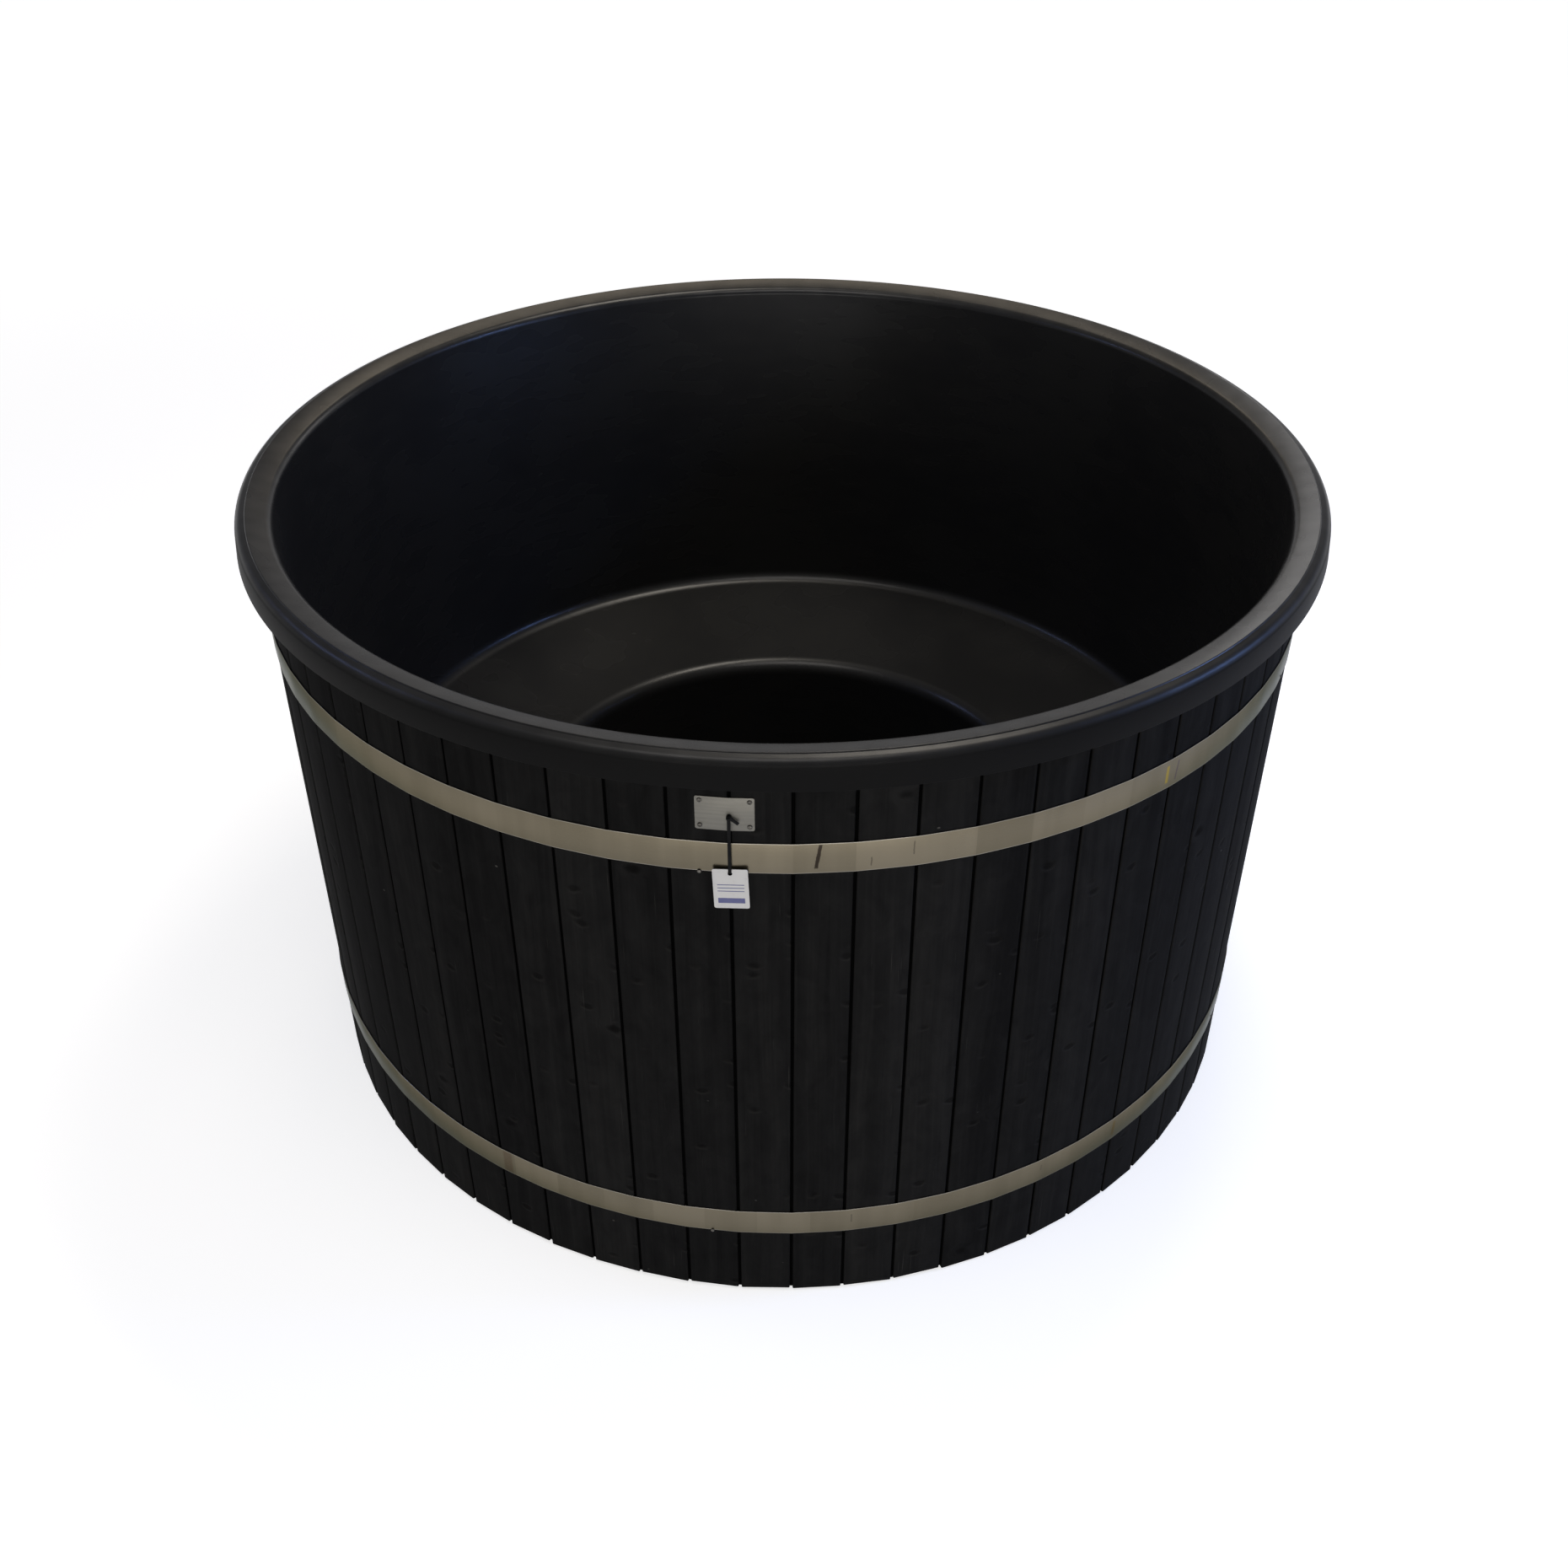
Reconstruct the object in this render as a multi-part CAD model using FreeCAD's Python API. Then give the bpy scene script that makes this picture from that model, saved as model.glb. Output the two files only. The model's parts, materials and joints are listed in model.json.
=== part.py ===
import FreeCAD, Part
import math
import os

# A round hot tub: a one-piece plastic liner with a bench and a foot well, clad in flat staves
# that two steel hoops hold together. Sizes are in millimetres and angles in degrees.
# The floor is z = 0 and the tub's axis is Z. Azimuth runs from -Y, where the name plate is,
# towards +X, and every piece is drawn at azimuth 0 and then turned to its place.

# Staves: flat boards with tongue, groove and a shadow gap between their faces
STAVE_COUNT = 65
STAVE_COVER = 85.0
STAVE_FLOOR_GAP = 5.0
STAVE_TOP_GAP = 3.0
SHADOW_GAP = 5.0
EDGE_BREAK = 1.2
FACE_LIP = 9.0
TONGUE_THICKNESS = 6.0
BACK_LIP = 5.0
TONGUE_REACH = 8.0
STAVE_PLAY = 0.3
STAVES_PER_GROUP = 5

# Liner: the rim, the drafted wall, the bench and the foot well
LINER_WALL = 8.0
RIM_HEIGHT = 1098.0
CREST_OVERHANG = 12.4
CREST_RADIUS = 5.0
SHOULDER_RUN = 13.0
SHOULDER_FALL = 12.0
SHOULDER_RADIUS = 14.0
LIP_FLARE = 6.5
LIP_DEPTH = 36.0
RIM_BAND_FALL = 12.0
RIM_INNER_RADIUS = 18.0
CLADDING_GAP = 5.7
WALL_DRAFT = 4.5
BENCH_HEIGHT = 424.0
BENCH_WIDTH = 313.0
BENCH_FALL = 40.0
BENCH_COVE = 14.0
BENCH_NOSE = 16.0
WELL_DRAFT = 2.5
WELL_COVE = 20.0
LEAST_RADIUS = 0.5

# Base and the pieces between the liner and the staves
BEARER_HEIGHT = 28.0
BEARER_WIDTH = 70.0
BEARER_SPACING = 480.0
BEARER_SETBACK = 20.0
DECK_THICKNESS = 12.0
KERB_THICKNESS = 20.0
BACKING_OVERRUN = 10.0
SUPPORT_COUNT = 8
SUPPORT_THICKNESS = 18.0
SEAT_GAP = 0.3

# Hoops, their nails and their clamps
HOOP_WIDTH = 50.0
HOOP_THICKNESS = 1.5
HOOP_FIT = 0.1
UPPER_HOOP_DROP = 181.0
HOOP_PORT_GAP = 7.0
HOOP_OPENING = 30.0
NAIL_COUNT = 5
NAIL_R = 1.2
NAIL_HEAD_R = 3.0
NAIL_HEAD_THICKNESS = 1.2
NAIL_DEPTH = 16.0
LUG_LENGTH = 38.0
LUG_INSET = 5.0
LUG_MARGIN = 2.5
LUG_THICKNESS = 2.5
LUG_SETBACK = 2.0
CLAMP_BOLT_R = 4.0
CLAMP_NUT_GAP = 3.7
CLAMP_NUT_R = 7.5
CLAMP_NUT_THICKNESS = 6.5
CLAMP_BOLT_TAIL = 8.0
RIVET_R = 2.0
RIVET_HEAD_R = 4.0
RIVET_HEAD_HEIGHT = 1.8
RIVET_SPACING = 14.0
RIVET_INSET = 8.0

# Name plate, bent over the joint between two staves, with its middle to the left of the joint
PLATE_WIDTH = 80.0
PLATE_SHIFT = 6.0
PLATE_HEIGHT = 54.0
PLATE_THICKNESS = 1.2
PLATE_HOOP_GAP = 21.0
PLATE_CORNER = 3.0
SCREW_INSET = 6.5
SCREW_R = 1.6
SCREW_DEPTH = 16.0
SCREW_HEAD_R = 3.4
SCREW_HEAD_HEIGHT = 2.0
HOLE_CLEARANCE = 0.1

# Hang tag on its tie, which turns on a nail through the name plate
TAG_NAIL_DROP = 3.0
TAG_NAIL_R = 1.5
TAG_NAIL_HEAD_R = 2.8
TAG_NAIL_HEAD_THICKNESS = 1.6
TAG_NAIL_DEPTH = 15.0
TIE_WIDTH = 4.6
TIE_THICKNESS = 1.4
TIE_EYE_R = 3.6
TIE_DROP = 91.4
TIE_LOOP = 20.0
TIE_LOCK = 5.0
TIE_TAIL = 12.6
TIE_TAIL_ANGLE = 52.0
TIE_HOOP_GAP = 1.0
TIE_PLAY = 0.4
PIVOT_PLAY = 0.1
TAG_WIDTH = 49.0
TAG_HEIGHT = 68.0
TAG_THICKNESS = 0.8
TAG_CORNER = 5.0
TAG_HOLE_CLEARANCE = 0.9
TAG_HOLE_INSET = 7.7
TAG_SEAT_GAP = 0.15

# Pipes through the wall of the foot well, two stove ports and the drain, each at the middle
# of a bay between two bench supports and on the centre line of a stave
PORT_AZIMUTH = 135.0
UPPER_PORT_DROP = 110.0
PORT_BORE_R = 22.5
SPIGOT_LENGTH = 60.0
DRAIN_AZIMUTH = 225.0
DRAIN_BORE_R = 12.5
PIPE_WALL = 3.5
PIPE_FLANGE_WIDTH = 12.0
SPIGOT_STEP = 1.0
PIPE_FLANGE_THICKNESS = 4.0
PIPE_FIT = 0.1
PIPE_HOLE_CLEARANCE = 3.0
SEAL_LEAST = 1.5
SEAL_INSET = 2.0
LOCKNUT_OVERSIZE = 10.0
LOCKNUT_THICKNESS = 12.0
COLLAR_WIDTH = 9.0
COLLAR_THICKNESS = 5.0
GRILLE_THICKNESS = 3.0
GRILLE_SLOTS = 5
GRILLE_SLOT_WIDTH = 4.5
SLEEVE_WALL = 2.0
SLEEVE_LENGTH = 12.0

# Ball valve on the drain; distances along the pipe are from the ball's centre
VALVE_STANDOFF = 4.0
VALVE_SOCKET_DEPTH = 20.0
VALVE_THROAT = 6.0
VALVE_WALL = 5.7
BALL_WALL = 7.5
BALL_PLAY = 0.3
SEAT_SETBACK = 2.0
SEAT_THICKNESS = 6.0
STEM_R = 5.0
STEM_TIP_R = 4.0
STEM_FLOOR = 2.5
STEM_FIT = 0.05
BONNET_R = 10.0
BONNET_RISE = 14.0
GLAND_R = 9.0
GLAND_THICKNESS = 4.0
LEVER_LENGTH = 122.0
LEVER_HEEL = 11.0
LEVER_WIDTH = 20.0
LEVER_THICKNESS = 3.0
LEVER_NUT_R = 7.5
LEVER_NUT_THICKNESS = 6.0
STEM_TIP_SPARE = 2.0
GRIP_LENGTH = 78.0
GRIP_WALL = 3.0
GRIP_ROUND = 2.5
TAIL_PLUG = 22.0
TAIL_FLANGE_THICKNESS = 10.0
TAIL_LENGTH = 45.0

UP = FreeCAD.Vector(0, 0, 1)
OUTWARD = FreeCAD.Vector(0, -1, 0)
RIGHT = FreeCAD.Vector(1, 0, 0)
HEXAGON = 6
EDGE_TOLERANCE = 0.01

pitch = 360.0 / STAVE_COUNT
half_pitch = math.radians(pitch / 2)
face_r = STAVE_COVER / 2 / math.tan(half_pitch)
stave_thickness = FACE_LIP + TONGUE_THICKNESS + BACK_LIP
back_r = face_r - stave_thickness
edge_r = face_r / math.cos(half_pitch)
face_half = (STAVE_COVER - SHADOW_GAP) / 2
inside_r = back_r - SEAT_GAP

crest_r = face_r + CREST_OVERHANG
wall_top_r = back_r - CLADDING_GAP - LINER_WALL
wall_top_z = RIM_HEIGHT - RIM_BAND_FALL
wall_slope = math.tan(math.radians(WALL_DRAFT))
bench_outer_r = wall_top_r - (wall_top_z - BENCH_HEIGHT) * wall_slope
nose_r = bench_outer_r - BENCH_WIDTH
nose_z = BENCH_HEIGHT - BENCH_FALL
deck_top = BEARER_HEIGHT + DECK_THICKNESS
well_floor_z = deck_top + LINER_WALL
well_slope = math.tan(math.radians(WELL_DRAFT))
well_floor_r = nose_r - (nose_z - well_floor_z) * well_slope

band_angle = math.atan2(RIM_BAND_FALL, crest_r - wall_top_r)
band_under_z = wall_top_z + (back_r - wall_top_r) * math.tan(band_angle) - LINER_WALL / math.cos(band_angle)
stave_top = band_under_z - STAVE_TOP_GAP

port_pipe_r = PORT_BORE_R + PIPE_WALL
port_flange_r = port_pipe_r + PIPE_FLANGE_WIDTH
drain_pipe_r = DRAIN_BORE_R + PIPE_WALL
drain_flange_r = drain_pipe_r + PIPE_FLANGE_WIDTH
upper_hoop_z = RIM_HEIGHT - UPPER_HOOP_DROP
upper_port_z = nose_z - UPPER_PORT_DROP
lower_port_z = well_floor_z + WELL_COVE + port_flange_r
drain_z = well_floor_z + WELL_COVE + drain_flange_r
lower_hoop_z = lower_port_z + port_pipe_r + COLLAR_WIDTH + HOOP_PORT_GAP + HOOP_WIDTH / 2

hoop_inner_r = math.hypot(face_r, face_half - EDGE_BREAK) + HOOP_FIT
hoop_outer_r = hoop_inner_r + HOOP_THICKNESS
lug_height = HOOP_WIDTH - 2 * LUG_INSET
clamp_bolt_offset = SEAT_GAP + LUG_THICKNESS + CLAMP_NUT_GAP + CLAMP_NUT_R
lug_reach = clamp_bolt_offset + CLAMP_NUT_R + LUG_MARGIN
kerb_inner_r = inside_r - KERB_THICKNESS
kerb_top = lower_hoop_z + HOOP_WIDTH / 2 + BACKING_OVERRUN
backing_bottom = upper_hoop_z - HOOP_WIDTH / 2 - BACKING_OVERRUN
backing_top = upper_hoop_z + HOOP_WIDTH / 2 + BACKING_OVERRUN
jacket_bottom = BENCH_HEIGHT + BENCH_COVE

plate_z = upper_hoop_z + HOOP_WIDTH / 2 + PLATE_HOOP_GAP + PLATE_HEIGHT / 2
tag_nail_z = plate_z - TAG_NAIL_DROP
plate_front = edge_r + PLATE_THICKNESS / math.cos(half_pitch)
tie_back = hoop_outer_r + TIE_HOOP_GAP
tag_back = tie_back + TIE_THICKNESS + TIE_PLAY
tag_front = tag_back + TAG_THICKNESS
tie_front = tag_front + TIE_PLAY
tie_face = tie_front + TIE_THICKNESS
tie_bend_z = tag_nail_z - TIE_DROP
tie_bend_r = (tie_face - tie_back) / 2
tie_rest_z = tie_bend_z - tie_bend_r + TIE_THICKNESS
tag_hole_r = TIE_WIDTH / 2 + TAG_HOLE_CLEARANCE
tag_hole_z = tie_rest_z + TAG_SEAT_GAP - math.sqrt(tag_hole_r ** 2 - (TIE_WIDTH / 2) ** 2)

bay = 360.0 / SUPPORT_COUNT
port_azimuth = (math.floor(round(PORT_AZIMUTH / bay) * bay / pitch) + 0.5) * pitch
drain_azimuth = (math.floor(round(DRAIN_AZIMUTH / bay) * bay / pitch) + 0.5) * pitch
collar_face = face_r + COLLAR_THICKNESS
drain_spigot_r = drain_pipe_r - SPIGOT_STEP
ball_r = DRAIN_BORE_R + BALL_WALL
cavity_r = ball_r + BALL_PLAY
valve_body_r = cavity_r + VALVE_WALL
seat_outer = ball_r - SEAT_SETBACK
seat_inner = seat_outer - SEAT_THICKNESS
stem_root = DRAIN_BORE_R + STEM_FLOOR
bonnet_height = valve_body_r + BONNET_RISE
valve_inlet = seat_outer + VALVE_THROAT + VALVE_SOCKET_DEPTH
valve_outlet = seat_outer + TAIL_PLUG
valve_r = collar_face + VALVE_STANDOFF + valve_inlet
lever_bottom = drain_z + bonnet_height + GLAND_THICKNESS + SEAT_GAP
lever_top = lever_bottom + LEVER_THICKNESS
lever_nut_top = lever_top + LEVER_NUT_THICKNESS


def turned(shape, azimuth):
    copy = shape.copy()
    copy.rotate(FreeCAD.Vector(), UP, azimuth)
    return copy


def box(x_range, y_range, z_range):
    spans = [high - low for low, high in (x_range, y_range, z_range)]
    return Part.makeBox(*spans, FreeCAD.Vector(x_range[0], y_range[0], z_range[0]))


def outward_rod(radius, start, end, z, x=0.0):
    return Part.makeCylinder(radius, end - start, FreeCAD.Vector(x, -start, z), OUTWARD)


def upright_rod(radius, bottom, top, centre_r=0.0):
    return Part.makeCylinder(radius, top - bottom, FreeCAD.Vector(0, -centre_r, bottom), UP)


def ring(outer, inner, bottom, top):
    return upright_rod(outer, bottom, top).cut(upright_rod(inner, bottom, top))


def prism(points, height_vector):
    return Part.Face(Part.makePolygon(points + points[:1])).extrude(height_vector)


def hexagon(radius, start, along, thickness):
    side = RIGHT if along == UP else UP
    third = along.cross(side)
    corners = []
    for index in range(HEXAGON):
        angle = math.radians(index * 360.0 / HEXAGON)
        corners.append(start + side * (radius * math.cos(angle)) + third * (radius * math.sin(angle)))
    return prism(corners, along * thickness)


def dome(radius, height, start, z, x=0.0):
    """A shallow spherical cap that faces outwards from its flat side."""
    sphere_r = (radius ** 2 + height ** 2) / (2 * height)
    half_angle = math.asin(radius / sphere_r) / 2
    half_way = start + height - sphere_r + sphere_r * math.cos(half_angle)
    centre = FreeCAD.Vector(x, -start, z)
    rim = FreeCAD.Vector(x + radius, -start, z)
    crown = FreeCAD.Vector(x, -start - height, z)
    middle = FreeCAD.Vector(x + sphere_r * math.sin(half_angle), -half_way, z)
    edges = [
        Part.LineSegment(centre, rim).toShape(),
        Part.Arc(rim, middle, crown).toShape(),
        Part.LineSegment(crown, centre).toShape(),
    ]
    return Part.Face(Part.Wire(edges)).revolve(centre, OUTWARD, 360)


def rounded_profile(corners):
    """Closed outline in the XZ plane from (r, z, fillet radius) corners."""
    points = [FreeCAD.Vector(r, 0, z) for r, z, _ in corners]
    entries = []
    exits = []
    middles = []
    for index, (_, _, radius) in enumerate(corners):
        point = points[index]
        back = (points[index - 1] - point).normalize()
        ahead = (points[(index + 1) % len(points)] - point).normalize()
        half_angle = back.getAngle(ahead) / 2
        tangent = radius / math.tan(half_angle)
        entries.append(point + back * tangent)
        exits.append(point + ahead * tangent)
        bisector = (back + ahead).normalize()
        middles.append(point + bisector * (radius / math.sin(half_angle) - radius))
    edges = []
    for index, (_, _, radius) in enumerate(corners):
        if radius:
            edges.append(Part.Arc(entries[index], middles[index], exits[index]).toShape())
        edges.append(Part.LineSegment(exits[index], entries[(index + 1) % len(corners)]).toShape())
    return Part.Wire(edges)


def revolved(corners):
    return Part.Face(rounded_profile(corners)).revolve(FreeCAD.Vector(), UP, 360)


def offset_path(corners, distance):
    """The path moved to its right by the distance, with fillets that keep their centres."""
    count = len(corners)
    normals = []
    for (r0, z0, _), (r1, z1, _) in zip(corners, corners[1:]):
        length = math.hypot(r1 - r0, z1 - z0)
        normals.append(((z1 - z0) / length, (r0 - r1) / length))
    moved = []
    for index, (r, z, radius) in enumerate(corners):
        before = normals[max(index - 1, 0)]
        after = normals[min(index, count - 2)]
        spread = 1 + before[0] * after[0] + before[1] * after[1]
        turn = before[0] * after[1] - before[1] * after[0]
        new_radius = radius
        if radius:
            new_radius = radius + distance if turn > 0 else max(radius - distance, LEAST_RADIUS)
        new_r = r + (before[0] + after[0]) * distance / spread
        new_z = z + (before[1] + after[1]) * distance / spread
        moved.append((new_r, new_z, new_radius))
    return moved


def wall_outside_r(z):
    return wall_top_r - (wall_top_z - z) * wall_slope + LINER_WALL / math.cos(math.radians(WALL_DRAFT))


def well_inside_r(z):
    return nose_r - (nose_z - z) * well_slope


def well_outside_r(z):
    return well_inside_r(z) + LINER_WALL / math.cos(math.radians(WELL_DRAFT))


def bare_liner():
    shoulder_r = crest_r + SHOULDER_RUN
    shoulder_z = RIM_HEIGHT - SHOULDER_FALL
    inside = [
        (0.0, well_floor_z, 0.0),
        (well_floor_r, well_floor_z, WELL_COVE),
        (nose_r, nose_z, BENCH_NOSE),
        (bench_outer_r, BENCH_HEIGHT, BENCH_COVE),
        (wall_top_r, wall_top_z, RIM_INNER_RADIUS),
        (crest_r, RIM_HEIGHT, CREST_RADIUS),
        (shoulder_r, shoulder_z, SHOULDER_RADIUS),
        (shoulder_r + LIP_FLARE, shoulder_z - LIP_DEPTH, 0.0),
    ]
    outside = offset_path(inside, LINER_WALL)
    return revolved(inside + outside[::-1])


def tub_liner(shell):
    for azimuth, z, pipe_r in pipes:
        hole = outward_rod(pipe_r + SEAT_GAP, well_inside_r(0), well_outside_r(nose_z), z)
        shell = shell.cut(turned(hole, azimuth))
    return shell


def neighbour_frame(x, depth):
    """A point of one stave as its right-hand neighbour sees it: sideways place and depth."""
    angle = math.radians(pitch)
    y = -(face_r - depth)
    across = x * math.cos(angle) + y * math.sin(angle)
    away = x * math.sin(angle) - y * math.cos(angle)
    return across, face_r - away


def bare_stave():
    back_half = back_r * math.tan(half_pitch) - STAVE_PLAY / 2
    tongue_tip = face_half + SHADOW_GAP + TONGUE_REACH
    tongue_depths = (FACE_LIP, FACE_LIP + TONGUE_THICKNESS)
    seen = [neighbour_frame(x, depth) for x in (face_half, tongue_tip) for depth in tongue_depths]
    groove_front = min(depth for _, depth in seen) - STAVE_PLAY
    groove_back = max(depth for _, depth in seen) + STAVE_PLAY
    groove_floor = max(across for across, _ in seen) + STAVE_PLAY
    outline = [
        (-face_half + EDGE_BREAK, 0),
        (face_half - EDGE_BREAK, 0),
        (face_half, EDGE_BREAK),
        (face_half, tongue_depths[0]),
        (tongue_tip, tongue_depths[0]),
        (tongue_tip, tongue_depths[1]),
        (back_half, tongue_depths[1]),
        (back_half, stave_thickness),
        (-back_half, stave_thickness),
        (-back_half, groove_back),
        (groove_floor, groove_back),
        (groove_floor, groove_front),
        (-face_half, groove_front),
        (-face_half, EDGE_BREAK),
    ]
    points = [FreeCAD.Vector(x, depth - face_r, STAVE_FLOOR_GAP) for x, depth in outline]
    return prism(points, UP * (stave_top - STAVE_FLOOR_GAP))


def drilled(stave, drills):
    for drill in drills:
        if stave.BoundBox.intersect(drill.BoundBox):
            stave = stave.cut(drill)
    return stave


def stave_groups(drills):
    board = bare_stave()
    groups = []
    for start in range(0, STAVE_COUNT, STAVES_PER_GROUP):
        boards = []
        for index in range(start, min(start + STAVES_PER_GROUP, STAVE_COUNT)):
            azimuth = (index + 0.5) * pitch
            boards.append(drilled(turned(board, azimuth), drills))
        groups.append(boards)
    return groups


def hoop(z, rivet_holes):
    bottom = z - HOOP_WIDTH / 2
    band = ring(hoop_outer_r, hoop_inner_r, bottom, bottom + HOOP_WIDTH)
    half_opening = HOOP_OPENING / 2
    opening = box((-half_opening, half_opening), (0, hoop_outer_r + lug_reach), (bottom, bottom + HOOP_WIDTH))
    band = band.cut(opening)
    for hole in rivet_holes:
        band = band.cut(hole)
    return band


def rivet_places(z):
    """Azimuth and height of each rivet, two to a lug, either side of the hoop's opening."""
    first = HOOP_OPENING / 2 + LUG_SETBACK + LUG_LENGTH - RIVET_INSET - RIVET_SPACING
    places = []
    for side in (-1, 1):
        for offset in (first, first + RIVET_SPACING):
            places.append((180.0 + side * math.degrees(offset / hoop_outer_r), z))
    return places


def rivets(places):
    head_start = hoop_outer_r + SEAT_GAP + LUG_THICKNESS
    pieces = []
    for azimuth, z in places:
        shank = outward_rod(RIVET_R, hoop_inner_r + HOOP_FIT, head_start, z)
        rivet = shank.fuse(dome(RIVET_HEAD_R, RIVET_HEAD_HEIGHT, head_start, z))
        pieces.append(turned(rivet.removeSplitter(), azimuth))
    return pieces


def rivet_drills(places):
    reach = hoop_outer_r + lug_reach
    return [turned(outward_rod(RIVET_R + HOLE_CLEARANCE, back_r, reach, z), azimuth) for azimuth, z in places]


def clamp_lugs(z, rivet_holes):
    inner = hoop_outer_r + HOOP_FIT
    outer = hoop_outer_r + SEAT_GAP + LUG_THICKNESS
    bottom = z - lug_height / 2
    near = HOOP_OPENING / 2 + LUG_SETBACK
    pieces = []
    for side in (-1, 1):
        span = sorted((side * near, side * (near + LUG_LENGTH)))
        upright_span = sorted((side * near, side * (near + LUG_THICKNESS)))
        reach = (-hoop_outer_r - lug_reach, 0)
        foot = ring(outer, inner, bottom, bottom + lug_height)
        foot = foot.common(box(span, reach, (bottom, bottom + lug_height)))
        upright = box(upright_span, (reach[0], -inner), (bottom, bottom + lug_height))
        lug = foot.fuse(upright.cut(upright_rod(inner, bottom, bottom + lug_height)))
        bolt_start = FreeCAD.Vector(upright_span[0], -hoop_outer_r - clamp_bolt_offset, z)
        lug = lug.cut(Part.makeCylinder(CLAMP_BOLT_R + HOLE_CLEARANCE, LUG_THICKNESS, bolt_start, RIGHT))
        lug = turned(lug.removeSplitter(), 180.0)
        for hole in rivet_holes:
            lug = lug.cut(hole)
        pieces.append(lug)
    return pieces


def clamp_bolt(z):
    face = HOOP_OPENING / 2 + LUG_SETBACK + LUG_THICKNESS
    centre_y = -hoop_outer_r - clamp_bolt_offset
    head = hexagon(CLAMP_NUT_R, FreeCAD.Vector(face, centre_y, z), RIGHT, CLAMP_NUT_THICKNESS)
    length = 2 * face + CLAMP_NUT_THICKNESS + CLAMP_BOLT_TAIL
    shank = Part.makeCylinder(CLAMP_BOLT_R, length, FreeCAD.Vector(face, centre_y, z), -RIGHT)
    return turned(head.fuse(shank), 180.0)


def clamp_nut(z):
    face = HOOP_OPENING / 2 + LUG_SETBACK + LUG_THICKNESS
    start = FreeCAD.Vector(-face, -hoop_outer_r - clamp_bolt_offset, z)
    nut = hexagon(CLAMP_NUT_R, start, -RIGHT, CLAMP_NUT_THICKNESS)
    bore = Part.makeCylinder(CLAMP_BOLT_R + HOLE_CLEARANCE, CLAMP_NUT_THICKNESS, start, -RIGHT)
    return turned(nut.cut(bore), 180.0)


def nail_places():
    """Azimuth and height of the nails that carry each hoop's lower edge, at board centres."""
    places = []
    for hoop_z in (upper_hoop_z, lower_hoop_z):
        z = hoop_z - HOOP_WIDTH / 2 - NAIL_R - HOOP_FIT
        for index in range(NAIL_COUNT):
            board = round(index * STAVE_COUNT / NAIL_COUNT) - 0.5
            places.append((board * pitch, z))
    return places


def hoop_nails():
    head_start = hoop_outer_r + HOOP_FIT
    pieces = []
    for azimuth, z in nail_places():
        shank = outward_rod(NAIL_R, face_r - NAIL_DEPTH, head_start, z)
        nail = shank.fuse(dome(NAIL_HEAD_R, NAIL_HEAD_THICKNESS, head_start, z))
        pieces.append(turned(nail.removeSplitter(), azimuth))
    return pieces


def nail_drills():
    depth = face_r - NAIL_DEPTH - HOLE_CLEARANCE
    rods = []
    for azimuth, z in nail_places():
        rods.append(turned(outward_rod(NAIL_R + HOLE_CLEARANCE, depth, hoop_outer_r, z), azimuth))
    return rods


def plate_reach(side):
    """How far the plate runs from the joint, to the left (-1) or to the right (1)."""
    return PLATE_WIDTH / 2 - side * PLATE_SHIFT


def screw_places():
    """Board side, distance across the board from its centre, and height of each plate screw."""
    rise = PLATE_HEIGHT / 2 - SCREW_INSET
    places = []
    for side in (-1, 1):
        across = STAVE_COVER / 2 - plate_reach(side) + SCREW_INSET
        for step in (-1, 1):
            places.append((side, -side * across, plate_z + step * rise))
    return places


def screw_drills():
    drills = []
    for side, x, z in screw_places():
        rod = outward_rod(SCREW_R + HOLE_CLEARANCE, face_r - SCREW_DEPTH - HOLE_CLEARANCE, plate_front, z, x)
        drills.append(turned(rod, side * pitch / 2))
    return drills


def tag_nail_drill():
    start = edge_r - TAG_NAIL_DEPTH - HOLE_CLEARANCE
    return outward_rod(TAG_NAIL_R + HOLE_CLEARANCE, start, plate_front, tag_nail_z)


def name_plate():
    outer_r = face_r + PLATE_THICKNESS
    joint_outer = FreeCAD.Vector(0, -outer_r / math.cos(half_pitch), 0)
    joint_inner = FreeCAD.Vector(0, -edge_r, 0)
    ends = []
    for side in (1, -1):
        across = side * (plate_reach(side) - STAVE_COVER / 2)
        ends.append([turned(Part.Vertex(across, -r, 0), side * pitch / 2).Point for r in (face_r, outer_r)])
    right, left = ends
    outline = [joint_inner] + right + [joint_outer] + left[::-1]
    plate = prism(outline, UP * PLATE_HEIGHT)
    plate.translate(UP * (plate_z - PLATE_HEIGHT / 2))
    corner_edges = []
    for edge in plate.Edges:
        middle = edge.CenterOfMass
        if abs(edge.Length - PLATE_THICKNESS) < EDGE_TOLERANCE and abs(middle.x) > PLATE_WIDTH / 4:
            corner_edges.append(edge)
    plate = plate.makeFillet(PLATE_CORNER, corner_edges)
    for drill in screw_drills() + [tag_nail_drill()]:
        plate = plate.cut(drill)
    return plate


def plate_screws():
    head_start = face_r + PLATE_THICKNESS
    pieces = []
    for side, x, z in screw_places():
        shank = outward_rod(SCREW_R, face_r - SCREW_DEPTH, head_start, z, x)
        screw = shank.fuse(dome(SCREW_HEAD_R, SCREW_HEAD_HEIGHT, head_start, z, x))
        pieces.append(turned(screw.removeSplitter(), side * pitch / 2))
    return pieces


def tag_nail():
    head_start = tie_face + PIVOT_PLAY
    shank = outward_rod(TAG_NAIL_R, edge_r - TAG_NAIL_DEPTH, head_start, tag_nail_z)
    head = dome(TAG_NAIL_HEAD_R, TAG_NAIL_HEAD_THICKNESS, head_start, tag_nail_z)
    return shank.fuse(head).removeSplitter()


def tie_leg(back, front, bottom, top):
    return box((-TIE_WIDTH / 2, TIE_WIDTH / 2), (-front, -back), (bottom, top))


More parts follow.
